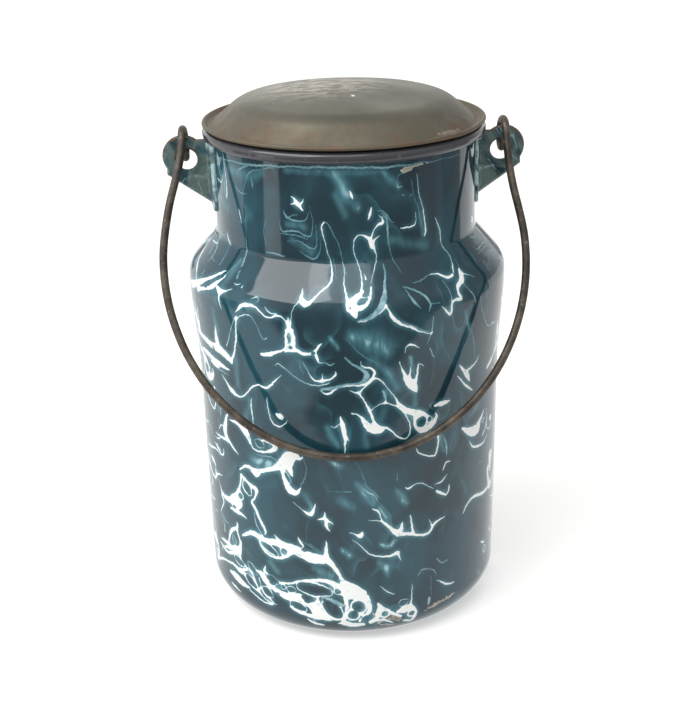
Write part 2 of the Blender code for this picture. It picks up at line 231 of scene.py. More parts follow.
# Studio
FLOOR_REACH = 8.0
FLOOR_LIFT = 0.42                      # brings the floor to white where the camera sees it
FLOOR_COLOUR = (0.82, 0.81, 0.79, 1)
BLACK = (0, 0, 0, 1)
WHITE = (1, 1, 1, 1)
CARD_FRONT = -0.24                     # where the white card under the can ends, as the enamel shows it
CARD_FADE = 0.015                      # to either side of that line
CARD_SIDES = (0.42, 0.46)              # it fades between these places across
CARD_LIGHT = 1.15
TABLE_LIGHT = 0.36                     # round the card
# Bright things past the card, as the neck shows them: from and to an angle off the front, in degrees,
# and how bright they are
BRIGHT_BANDS = ((-150, -99, 1.25), (-75, -59, 1.8), (-40, -25, 0.42), (60, 86, 0.55), (112, 150, 1.2))
BAND_FADE = 1
BAND_START = (0.40, 0.46)              # they begin between these distances
LOW_LIGHT = 0.45                       # of the room, at the floor
FRONT_LIGHT = 0.85                     # and higher up, at the front and at the back
BACK_LIGHT = 0.38
WALL_LIGHT = 0.75                      # more light from straight behind and from the left
BACKDROP = 1.1                         # what the camera sees of it
# Soft boxes: place, width, height and power
LAMPS = {
    "window": ((-0.71, -0.38, 1.12), 1.0, 0.7, 9.5),
    "ceiling": ((-0.12, -0.63, 1.22), 0.8, 0.5, 2.6),
}
LAMP_TARGET = (0, 0, 0.1)

# Colours, as six hexadecimal digits
DEEP_TEAL = "17303a"
TEAL = "214a57"
VEIL_TEAL = "477f8c"
GLOW_TEAL = "568f9b"
MILKY_TEAL = "a3cbd5"
NAVY = "3a3b40"
WORN_NAVY = "57524e"
CHIP_GREY = "6d6960"
CHIP_PALE = "9a9588"
CHIP_BORDER = "c9c5b6"
LINING_WHITE = "d9d8d0"
LINING_SPECK = "8a8f8d"
THIN_WHITE = "9cc5cc"
THIN_PALE = "c9dfe1"
THIN_BORDER = "6a9ca7"
THICK_WHITE = "f4f6f5"
THICK_SHADE = "d5e2e3"
VEIN_BORDER = "2f5d69"
VEIN_PALE = "9cc0c8"
VEIN_DULL = "4d7f8b"
EAR_GREY = "687e78"
EAR_THREAD = "a3c3c6"
# painted highlight: pale glints on the ears' feet
EAR_PAINTED_GLINT = "b5cfd3"
EAR_STAIN = "54493a"
EAR_DARK_RUST = "3a2c22"
EAR_RUST = "6d5038"
TIN_DARK = "6c6a5e"
TIN_PALE = "7d7a6c"
TIN_BROWN = "5f5646"
TIN_RUST = "6e4e39"
TIN_SCUFF = "c8c1b3"
TIN_SPOT = "4a4036"
TIN_SCRATCH = "b4aca0"
PATCH_BROWN = "57493a"
PATCH_PALE = "958c77"
# the painted highlight on the lid's crown
PAINTED_GLINT_WHITE = "f4f4f2"
IRON_DARK = "37322c"
IRON_PALE = "635a4e"
IRON_RUST = "5f4533"
IRON_BARE = "9a9081"
ENAMEL_IOR = 1.52
ENAMEL_GLOSS = 0.07                    # roughness
EAR_GLOSS = 0.16
BARE_ROUGHENS = 0.5

# Strokes of white enamel, as drawn on the photograph: (across, down, width) in its pixels
STROKE_UNIT = 0.00042                  # width of a photograph pixel on the front of the can
STROKE_THINNING = 0.00011              # the strokes' widths take in this much of their soft edges
THINNEST_STROKE = 0.0002
STROKES = {
    "left shoulder": [(192, 284, 8), (200, 282, 6.4), (207, 279, 4.2), (214, 276, 4.4), (221, 273, 3.2),
        (226, 271, 1.2)],
    "left shoulder edge": [(198, 289, 6), (206, 288, 3.4), (213, 286, 6.4), (219, 281, 3.4),
        (225, 276, 1.4)],
    "left shoulder drop": [(217, 287, 3), (220, 291, 5.4), (226, 291, 2), (232, 289, 1)],
    "left shoulder fleck": [(234, 283, 1), (237, 285, 1.6), (240, 284, 1)],
    "left shoulder tick": [(241, 288, 1.6), (243, 285, 0.8)],
    "left rim loop": [(213, 240, 1.5), (217, 243, 2), (220, 238, 1.5), (221, 232, 1)],
    "left neck tail": [(227, 231, 1), (229, 240, 2.5), (231, 245, 1)],
    "left thread": [(246, 238, 0.8), (246, 255, 0.9), (241, 270, 0.9), (237, 279, 1)],
    "left hair": [(243, 257, 0.7), (234, 267, 0.8), (225, 276, 1)],
    "upper wave": [(235, 312, 1.2), (241, 306, 4), (247, 304.5, 4.4), (255, 307, 2.2), (262, 314, 2),
        (268, 317, 2), (278, 316, 2), (285, 321, 1.6), (289, 326, 1.4)],
    "upper curl": [(251, 299, 0.8), (256, 297.5, 1.5), (259, 300, 1), (256, 303, 0.7)],
    "inner wave": [(237, 319, 1.2), (240, 316, 1.5), (246, 314, 1.3), (252, 318, 0.9), (258, 328, 0.8),
        (263, 339, 1), (267, 338, 0.9)],
    "left fall": [(236.5, 318, 1.8), (236, 335, 2.2), (235, 350, 2.4), (231, 361, 4)],
    "left fall twin": [(236, 316, 1), (230, 332, 1), (227, 346, 1.4)],
    "left patch": [(198, 328, 3), (203, 336, 6.4), (211, 344, 8), (219, 349, 10), (226, 355, 9),
        (231, 361, 4)],
    "left patch foot": [(203, 347, 3), (209, 354, 6.4), (216, 361, 6.4), (224, 367, 4.4), (230, 370, 1.6)],
    "left patch spike": [(215, 325, 1), (216, 335, 4.4), (218, 344, 8)],
    "left edge": [(203, 348, 1), (213, 363, 1.2), (222, 371, 1.2), (229, 375, 0.7)],
    "long vein": [(222, 375, 1.1), (229, 386, 3.4), (233, 391, 5.4), (238, 396, 3), (243, 397, 2),
        (248, 391, 2), (253, 386, 2), (259, 385, 2), (266, 388, 3), (273, 383, 2.2), (281, 375, 1.1)],
    "short fall": [(252, 397, 1), (251.5, 408, 2), (253, 420, 1.6), (254, 428, 0.8)],
    "hook vein": [(267, 398, 1.3), (269, 413, 1.5), (272, 422, 1.6), (279, 426, 2), (285, 424, 1.4),
        (287, 420, 0.7)],
    "hook blob": [(277, 414, 3.4), (280, 416, 6.4), (282, 418, 3)],
    "bow": [(262, 355, 3.4), (270, 354, 4.6), (278, 351.5, 3.2), (286, 349, 1.8)],
    "patch top": [(288, 318, 1), (288, 325, 4), (290, 331, 5)],
    "patch left": [(286.5, 331, 3.2), (286, 340, 3), (286, 347, 3.6)],
    "patch right": [(292, 331, 3.8), (294, 338, 4), (293, 346, 4.6)],
    "patch arm": [(285, 352, 1.6), (287, 350, 4), (291, 350, 5), (296, 350, 4), (302, 353, 4),
        (308, 354, 3.6), (314, 352, 3.2), (319, 346, 2), (322, 343, 0.8)],
    "patch hand": [(314, 353, 3.2), (317, 358, 3.2), (319, 363, 1.6), (325, 363, 1), (331, 365, 1.1),
        (335, 363, 0.8)],
    "patch loop": [(303, 362, 0.9), (307, 370, 1), (311, 377, 1.5), (316, 381, 2.2), (323, 381, 3),
        (330, 379, 1.7), (335, 375, 2.4), (335, 371, 0.8)],
    "patch spine": [(322, 374, 0.8), (322, 381, 2.2)],
    "lower thread": [(275, 365, 1), (279, 363.5, 1.4), (288, 372, 1), (297, 378, 1), (306, 383, 1.1),
        (316, 386, 1.4), (324, 385, 1.4), (330, 382, 0.9)],
    "long wave": [(320, 391, 1), (328, 394, 2.2), (338, 388, 1.8), (350, 386, 2.2), (362, 385, 2.6),
        (371, 379, 3), (374, 373, 3), (371, 368, 2.6), (363, 366, 1.6), (361, 361, 0.7)],
    "drop column": [(341, 417, 1.8), (342, 424, 5), (344, 432, 5), (346, 439, 3.8), (345, 446, 2),
        (345, 454, 1.4)],
    "drop tick": [(346, 436, 1.2), (350, 442, 0.8)],
    "small tick": [(331, 426, 0.9), (335, 427, 1.6), (338, 424, 1)],
    "neck thread": [(324, 222, 1.9), (321.8, 227, 1.9), (323, 236, 1.5), (327, 250, 1.2), (331, 262, 1.3),
        (332, 278, 2.3), (327, 287, 2.1), (318, 294, 1.9), (311, 302, 3.6), (305, 303.5, 6),
        (301, 298, 4.2), (303, 288, 1)],
    "neck thread end": [(300, 300, 1.4), (294, 308, 1), (291, 318, 1), (290, 327, 1.6)],
    "middle thread": [(343, 262, 1), (344.5, 275, 1.3), (344.5, 286, 1.6), (347, 300, 3), (351, 309, 7)],
    "middle patch": [(362, 292, 3.2), (357, 297, 6.4), (352, 303, 8.4), (352, 308, 9), (355, 315, 6),
        (356, 318, 2)],
    "loop left": [(368, 238, 2.4), (361, 234.5, 1.4), (354.5, 238.5, 1.6), (353.5, 249, 1.4),
        (358, 263, 1.4), (362, 279, 1.7), (361.5, 290, 2.4)],
    "loop head": [(366, 236.5, 1.8), (370, 240.5, 5.4), (372, 246, 5.4), (374, 241, 2.2), (379, 236, 1)],
    "loop right": [(373, 246, 2.6), (376.5, 257, 1.3), (374.5, 268, 1.3), (372, 279, 1.1), (371, 288, 0.9),
        (368, 297, 0.8)],
    "loop fleck": [(364, 274, 1), (366, 279, 2)],
    "web": [(358, 321.5, 1.4), (364, 321, 1.8), (372, 318, 2), (381, 313, 2), (386, 306, 1.8)],
    "web thread": [(386, 305, 1.6), (389, 311, 2.2), (392.5, 317, 3.8), (397, 321, 3.6), (403, 325, 2.2),
        (412, 328, 2.8), (420, 331, 1.7), (431, 333, 1.4), (433, 327, 1), (433, 316, 0.9)],
    "right thread": [(435.5, 217, 1), (439, 229, 1.6), (441, 242, 1.5), (447, 252, 1.3), (452, 262, 1.3),
        (453, 268, 2.2), (454, 273, 1.4)],
    "right bar": [(429, 275, 1), (436, 273.5, 1.8), (441, 275, 3.2), (448, 277, 3.2), (452.5, 275, 2.8)],
    "right chain": [(459, 269, 3), (461, 275, 5.2), (461, 281, 6), (458, 287, 4), (459, 293, 3.2),
        (461, 299, 3.8), (456, 299.5, 3.2), (452, 303, 3), (451.5, 309, 2.8), (450, 314, 3),
        (446, 311, 2.4), (442, 307, 1.2)],
    "right chain arm": [(461, 273, 1.6), (470, 275, 0.9), (475, 278, 0.7)],
    "right chain tail": [(464, 285, 1), (472, 292, 1), (476, 302, 0.9)],
    "right hair": [(441, 279, 0.7), (450, 292, 0.9), (452, 300, 1)],
    "drop left": [(400, 361, 1.1), (402, 370, 2), (406, 378, 5.4), (411, 384, 9), (415, 389, 6),
        (416, 392, 2)],
    "drop right": [(414, 385, 6), (416.5, 377, 3), (417.5, 368, 2), (419, 364, 1.4), (423.5, 366, 1)],
    "drop cap": [(405, 353, 0.9), (405.5, 348, 1.3), (411, 345, 2.4), (419, 347.5, 1)],
    "small stroke": [(427, 343, 0.8), (430, 337, 0.9), (432, 333, 0.8)],
    "small stroke twin": [(430, 348, 1), (434, 357, 1)],
    "right drop": [(459, 365, 1), (463.5, 370, 4), (467, 375, 6), (469, 380, 2.4)],
    "right drop foot": [(457, 376, 1.2), (462, 382, 2.2), (468, 386.5, 2.8), (472.5, 390, 1.6)],
    "right hook": [(480, 296, 0.8), (483, 313, 0.8), (488, 325, 1.1), (496, 321, 0.8)],
    "cell top": [(350, 391, 1.2), (359, 392.5, 1.9), (367, 385, 1.6), (375, 378.5, 1.9), (381, 381, 1.6),
        (389, 390, 1.5), (396, 399, 2), (400, 405, 4.4), (406, 410, 6), (413, 412.5, 6.4), (421, 413, 6.4),
        (427, 416.5, 4.4)],
    "cell left": [(359, 393, 2.4), (365, 402, 1.9), (369, 409, 3), (372, 416, 3), (374, 423, 4.4),
        (377, 428, 6)],
    "cell foot": [(352, 414, 1.6), (358, 415, 1.8), (362, 418, 3.2), (367, 425, 7), (373, 429, 9),
        (380, 430, 7), (386, 428, 2.6), (392, 431, 2), (399, 437, 2.2), (405, 439, 1.6), (410, 434, 1.8),
        (410, 426, 1.8), (406, 416, 1.6), (402, 409, 2)],
    "cell bridge": [(371, 410, 1.1), (377, 406, 1.1), (385, 403, 1.6), (395, 405, 1.6), (402, 408, 2.6)],
    "cell spike": [(384, 390, 0.7), (385.5, 403, 1.6)],
    "cell ring": [(415, 414, 4), (415, 424, 3.2), (420, 430, 5.4), (427, 428, 7), (433, 423, 6),
        (436, 417, 3.6), (435, 413, 1.4)],
    "cell ear": [(435, 406, 2.6), (442, 403.5, 5.4), (450, 400, 1.6)],
    "right patch": [(462, 428, 2.6), (469, 431, 8), (476, 430, 12), (479, 422, 6), (482, 414, 3),
        (484, 408, 1)],
    "right patch edge": [(487, 417, 1.6), (485, 428, 2.6), (482, 435, 2)],
    "right patch foot": [(469, 441, 1.2), (473, 447, 2.8), (478, 446, 3.4), (484, 441, 2.2),
        (487, 434, 1.2)],
    "cup": [(416, 449, 1.2), (420, 453, 1.9), (430, 456, 2.2), (435, 455, 2.4), (438, 445, 2.4),
        (438, 437, 2.8), (436.5, 433, 4.4)],
    "cup thread": [(450, 461, 1.6), (446, 462, 1.9), (443, 470, 1.3)],
    "left slash": [(228, 413, 1.6), (226, 420, 4.4), (225, 429, 7), (227, 437, 5.4), (233, 447, 3.2),
        (238, 454, 1.4)],
    "left slash spike": [(216, 432, 1.2), (222, 437, 3.4), (228, 441, 4)],
    "bail patch": [(230, 420, 1.6), (236, 422, 4.4), (241, 426, 7), (245, 431, 9), (247, 437, 4),
        (250, 443, 2)],
    "bail patch loop": [(249, 434, 1.5), (252, 446, 1.8), (259, 451, 2.4), (268, 452, 3), (275, 448, 5.4),
        (271, 443, 4.2), (262, 440, 1.8)],
    "big patch": [(263, 472, 2.4), (271, 469, 4.4), (280, 465, 9), (287, 460, 13), (294, 456, 9),
        (300, 459, 3.4), (303, 457, 1.5)],
    "big patch drop": [(282, 468, 6), (285, 479, 4.6), (290, 490, 8), (296, 493, 5.6), (301, 488, 2)],
    "big patch arm": [(240, 469, 2), (247, 466.5, 3.6), (255, 470, 4.4), (262, 470, 4), (272, 469, 4.6)],
    "left web": [(241, 474, 2.6), (240, 485, 3), (238, 493, 6), (233, 500, 10), (240, 503, 8),
        (236, 510, 4.4)],
    "left web arm": [(242, 476, 3), (249, 484, 4.4), (256, 489, 5.4), (256, 496, 2.8), (252, 502, 3),
        (256, 510, 4), (261, 521, 3.6), (265, 530, 3.2), (265, 535, 1.4)],
    "left rill": [(215, 463, 1.5), (216.5, 471, 1), (219.5, 482, 1.2), (222, 491, 3), (226, 497, 6),
        (232, 501, 9)],
    "left rill foot": [(222, 494, 3), (224, 502, 2.2), (221, 512, 1.2), (224, 520, 1.2), (225, 531, 1.6)],
    "left flake": [(208, 488, 1), (211, 492, 1.6), (215, 499, 2.2)],
    "low left curl": [(237, 522, 1.6), (237, 527, 4), (231, 532, 4), (229, 540, 3), (227, 547, 2),
        (223, 545, 1)],
    "low left fall": [(237, 529, 4), (240, 540, 2.4), (241, 548, 3), (241, 558, 1.6)],
    "low left rag": [(221, 542, 2), (226, 550, 3), (233, 553, 4), (238, 552, 5), (240, 556, 3)],
    "low left thread": [(218, 557, 5), (224, 559, 3), (232, 563, 3), (239, 569, 4.4), (247, 569, 3.4)],
    "low left lump": [(231, 571, 4), (236, 576, 9), (241, 581, 9), (247, 586, 4.4), (250, 588, 1.4)],
    "low left line": [(245, 565, 1.3), (251, 572, 2), (257, 584, 2), (259, 591, 1.7)],
    "sash": [(243, 535, 3), (252, 533, 6), (260, 537, 6.4), (267, 541, 6.4), (277, 543, 8), (290, 548, 10),
        (303, 554, 11.5), (312, 557.5, 12), (321, 559.5, 10), (328, 561, 8), (334, 567, 5), (340, 576, 4),
        (346, 585, 4.6)],
    "sash spike": [(326, 540, 1), (326, 551, 4), (327, 558, 6)],
    "sash loop": [(260, 541, 2.6), (264, 550, 2.6), (271, 556, 2.4), (279, 558, 3.2), (287, 555, 5),
        (294, 552, 4)],
    "foam": [(257, 570, 2), (262, 574, 7), (264, 578, 7), (268, 584, 5.4), (273, 588, 5.4),
        (279, 592, 6.4), (287, 596, 9.5), (296, 597, 8.5), (303, 597, 4.4), (304, 601, 1.4)],
    "foam top": [(266, 582, 2), (273, 581.5, 2.6), (282, 582.5, 3), (291, 583, 2.6), (298, 582, 3),
        (308, 580.5, 3.4), (320, 580.5, 4.4), (332, 583, 7), (340, 588, 8)],
    "foam low": [(290, 606, 1.6), (297, 611, 3), (305, 614, 4.4), (312, 616, 5.4), (320, 618, 5)],
    "foam mass": [(318, 598, 2.4), (318, 604, 8), (316, 609, 13), (320, 614, 10), (327, 618.5, 7),
        (335, 620, 4), (344, 619, 3.4)],
    "low edge": [(250, 590, 1.7), (262, 600, 2.2), (273, 605, 1.6)],
    "bottom edge": [(308, 619, 2), (316, 623, 4), (324, 625, 3)],
    "low patch": [(338, 588, 8), (347, 592, 14), (356, 594, 14), (364, 597, 9.5), (369, 602, 5.4),
        (370, 609, 4.4), (366, 615, 3.4)],
    "low tail": [(350, 533, 1), (356, 535, 2), (361, 536, 5.2), (363, 532, 2)],
    "low thread": [(352, 540, 1), (360, 546, 1.4), (371, 554, 1.7), (383, 557, 2.2), (393, 555, 3.2),
        (398, 552, 4.6), (399, 556, 2), (401, 560, 0.9)],
    "star": [(368, 520, 0.9), (382, 522, 1.7), (390, 528, 3.2), (397, 532, 6.2), (401, 529, 5),
        (402, 522, 1.5)],
    "star arm": [(398, 534, 4.4), (409, 534, 3.6), (419, 535, 3.2), (428, 533, 3.2), (433, 526, 3.6),
        (438, 521, 2.6), (445, 516, 1.2)],
    "star spike": [(410, 516, 1.6), (412, 524, 2.2), (413, 533, 3.2)],
    "star tick": [(429, 519, 0.9), (432, 526, 2.2)],
    "star head": [(373, 509, 1.6), (379, 512, 2.2), (382, 521, 1.4), (392, 529, 2.2)],
    "small wave": [(405, 487, 1.1), (408, 489, 2.2), (416, 484, 1.4), (423, 483.5, 1.4), (433, 489, 0.9)],
    "triangle": [(437, 491, 3), (441, 493, 3.4), (446, 494, 2.2), (449, 489, 2.2), (449, 484, 1.4)],
    "triangle arm": [(434, 485, 1.1), (441, 482, 2), (447, 474, 1.2)],
    "right river": [(463, 513, 1.6), (466, 506, 2.4), (471, 499, 3.4), (477, 495, 4.4), (484, 491.5, 4.4),
        (488, 486, 3.6), (491, 478, 3.2), (493, 466, 3)],
    "low smile": [(436, 559, 0.9), (442, 562, 1.1), (448, 559, 0.9)],
    "low arch": [(418, 575, 0.9), (423, 569, 1.2), (431, 569, 1.2), (436, 573, 0.9)],
    "low stroke": [(436, 580, 1.1), (448, 583.5, 2.7), (454, 582, 1.7)],
    "low wisp": [(380, 586, 0.9), (387, 592, 1.7), (395, 594, 1.1)],
    "foot thread": [(412, 584, 1.1), (412, 597, 1.7), (410, 608, 3.2)],
    "foot patch": [(398, 611, 4), (404, 609.5, 8), (411, 608, 7), (415.5, 613, 4), (411, 620, 4),
        (404, 620, 3)],
    "foot patch left": [(378, 603, 2), (380, 609, 7), (377, 616, 8), (371, 622, 5)],
    "foot tick": [(428, 603, 2.2), (429, 597, 1.1)],
    "neck star": [(291, 197, 0.9), (294, 199, 2.2), (297, 203, 4), (301, 208, 2.8), (303, 211, 1)],
    "neck star arm": [(291, 204, 1), (297, 203.5, 3), (301, 204, 2.4), (304, 199, 1)],
    "neck drip": [(416.5, 174, 0.9), (418.7, 193, 1.1), (422.5, 208, 1.4), (425, 222, 1.8),
        (425.5, 230, 2.4), (424.5, 236, 2)],
    "low left fork": [(229, 547, 2), (234, 547, 2.4), (236, 542, 1)],
    "low left lump tail": [(232, 582, 2), (236, 587, 3), (241, 592, 1.4)],
    "low left lump top": [(239, 571, 3), (245, 574, 4.4), (247, 578, 2)],
    "sash wisp": [(274, 535, 1), (278, 539, 3), (283, 543, 3)],
    "sash fleck": [(298, 537, 1), (300, 542, 3), (303, 546, 2), (302, 549, 1)],
    "foam spike": [(266, 565, 1), (265, 571, 4), (268, 574, 1)],
    "foam bridge": [(299, 597, 4.4), (303, 602, 3.4), (308, 605, 5), (316, 606, 10)],
    "foam hair": [(261, 587, 1), (264, 592, 2.6), (268, 597, 2.8), (273, 602, 1)],
    "low patch top": [(344, 583, 7), (353, 587, 7), (363, 592, 6.4)],
    "low strand": [(346, 599, 5.4), (347, 606, 4.4), (346, 613, 4.4), (344, 620, 4.4)],
    "low strand right": [(351, 610, 2.6), (358, 612.5, 3.2), (364, 616, 3.4), (360, 621, 3.4)],
    "bottom edge right": [(336, 621, 4.4), (345, 623, 6.4), (354, 625, 7), (364, 624, 4)],
    "spark": [(317, 520, 1), (325, 519.5, 4), (326, 526, 3.4), (330, 531, 1.6)],
    "spark arm": [(325, 512, 1), (325, 519, 3), (333, 524, 1.4)],
    "low drop": [(293, 502, 0.9), (303, 510, 1.4), (310, 514, 5), (314, 510, 3.2), (315.5, 504, 1.2)],
    "left web arm twin": [(254, 512, 1), (257, 525, 1.5), (263, 536, 1.2)],
    "big patch right": [(288, 458, 12), (289, 467, 9), (292, 476, 2.4)],
    "big patch blob": [(252, 471, 3), (257, 474.5, 5.4), (261, 471, 3)],
    "left web tail": [(231, 508, 2.6), (238, 512, 5), (243, 515, 3), (247, 519, 1.2)],
    "left shoulder tail": [(220, 292, 4), (219, 300, 2.2), (221, 308, 1)],
    "upper tick": [(265, 307, 1), (269, 312, 1.6), (276, 314, 1)],
    "middle arm": [(356, 308, 7), (362, 308, 4), (367, 305, 3), (370, 298, 1.6), (372, 288, 1)],
    "loop top": [(371, 238, 2), (375, 229, 1.5), (379, 224.5, 2.8), (383, 222.5, 3.4), (382, 217.5, 1.6),
        (378, 215, 1)],
    "neck drop": [(349.5, 191, 1.6), (351, 195, 3.4), (353, 199, 1.4)],
    "neck ellipse": [(368, 219.5, 1.2), (370, 214, 3.2), (371.5, 208, 1.4)],
    "neck step": [(401, 228.5, 1.3), (406, 227, 1.8), (414, 225, 1.7), (415.8, 221, 1.2), (415, 212, 1)],
    "neck left tick": [(239, 209, 1.4), (240.5, 216, 1.8), (242, 223, 1)],
    "drop spike": [(409, 380, 5), (410, 373, 2.2), (410.5, 366, 1)],
    "right drop arm": [(466, 371, 3), (471, 367, 2.6), (476, 362, 1.8), (479, 355, 1)],
    "foot patch arm": [(384, 609, 4), (392, 613, 4), (401, 616, 3)],
    "foot patch low": [(374, 621, 3), (384, 620, 3), (393, 622, 2)],
    "left rill lump": [(211, 454, 2), (213.5, 459, 5), (215.5, 464, 2)],
    "left rill spray": [(209, 443, 2), (212, 446, 3), (216, 449, 2.2), (221, 455, 1)],
    "left rill spray twin": [(214, 441, 1), (217, 445, 1.8), (222, 451, 1)],
    "left edge flecks": [(211, 472, 1), (213, 480, 2), (212, 487, 1)],
    "low left crumb": [(222, 538, 2), (226, 541, 4), (231, 545, 3), (236, 549, 3), (241, 551, 2)],
    "low left crumb twin": [(226, 546, 2.5), (232, 549, 3), (239, 547, 3.5), (241, 541, 2)],
    "low left foot line": [(258, 590, 1), (263, 596, 1.6), (270, 602, 1.8), (277, 604.5, 1)],
    "low left foot tick": [(253, 588, 1), (259, 591.5, 2), (262, 594, 1)],
    "foam left web": [(259, 578, 2), (261, 585, 1.4), (259, 591, 2)],
}
# Dark cells in the white: (across, down) at both ends, the width, and how thick a white wall they have
CELL_MIDDLE_SHARE = 0.45               # a cell is widest this far along it
CELL_WIDTH_SHARES = (0.68, 1.06, 0.62)
CELLS = {
    "left shoulder": [(206, 286), (208, 284), 3.6, 0],
    "left patch": [(213, 346), (215, 353), 3.4, 0],
    "left patch low": [(221, 356), (224, 360), 3.6, 0],
    "patch": [(289, 334.5), (289.5, 342), 4, 1],
    "patch low": [(290.3, 347.5), (290.6, 348), 3.6, 1],
    "arm": [(312, 353), (313.5, 353.5), 3.6, 0],
    "middle": [(359, 303), (366, 299), 6, 1],
    "middle dot": [(350.5, 308), (351, 308.5), 1.6, 0],
    "ring": [(420.5, 421), (422, 422), 10, 2],
    "ring side": [(429, 420), (430, 418), 4, 1],
    "right patch": [(483, 419), (483, 421), 3.4, 1],
    "bail patch": [(257, 441), (262, 446), 7.4, 1],
    "big patch": [(297, 466), (299, 477), 11, 0],
    "big patch left": [(285, 473), (290, 482), 3, 1],
    "web": [(245, 483.5), (249.5, 493), 8.6, 1.8],
    "web low": [(240.5, 494.5), (241, 497), 6, 1.6],
    "web foot": [(233.5, 506.5), (236, 507.5), 3.8, 1.6],
    "sash": [(263, 543), (276, 554), 7, 1.6],
    "sash end": [(283, 551), (286, 552), 6.4, 1.4],
    "sash top": [(303, 549.5), (306, 550), 4, 0],
    "sash low": [(317, 568), (336, 578), 12, 0],
    "foam one": [(270, 582), (275, 584.5), 4.6, 1.4],
    "foam two": [(282, 586.5), (284.5, 587), 4.4, 1],
    "foam three": [(289, 588.5), (294, 590.5), 6, 1.2],
    "foam four": [(276.5, 593.5), (280, 594), 2.8, 0],
    "foam star": [(261, 578), (262, 578.5), 2, 0],
    "foam big": [(301, 586.5), (328, 592.5), 13, 1.8],
    "foam big end": [(336, 590.5), (339, 592), 5, 1],
    "foam left": [(293, 603.5), (304, 609), 8, 1.6],
    "foam low": [(328, 604.5), (338, 614.5), 14.5, 1.6],
    "foam lobe": [(304, 597.5), (312, 598.5), 7, 0],
    "foam foot": [(328, 623.5), (340, 621.3), 4.6, 0],
    "foam notch": [(268, 577), (277, 582), 7, 0.6],
    "foam strand": [(324, 600), (341, 605), 4.6, 1],
    "foam side": [(265, 588.5), (271, 595.5), 8, 1.4],
    "low right": [(357, 606), (361.5, 607.5), 12, 2],
    "low left": [(352.5, 614.5), (354, 616), 9.5, 2],
    "low corner": [(364, 619), (373, 616), 7, 0],
    "foot": [(411, 613), (412.5, 614), 5.4, 2],
    "foot left": [(384.5, 613), (385, 615), 6, 2],
    "foot right": [(401, 604), (406, 601), 7, 0.9],
    "lump": [(243, 579), (246, 582), 2.2, 0],
    "lump right": [(247.5, 576), (256, 587), 8, 1.4],
    "lump top": [(249.5, 564), (255.5, 573), 7, 1.1],
    "left low": [(236, 557.5), (243, 564), 7, 1.4],
    "left high": [(233.5, 537), (235.5, 544), 5, 1],
}
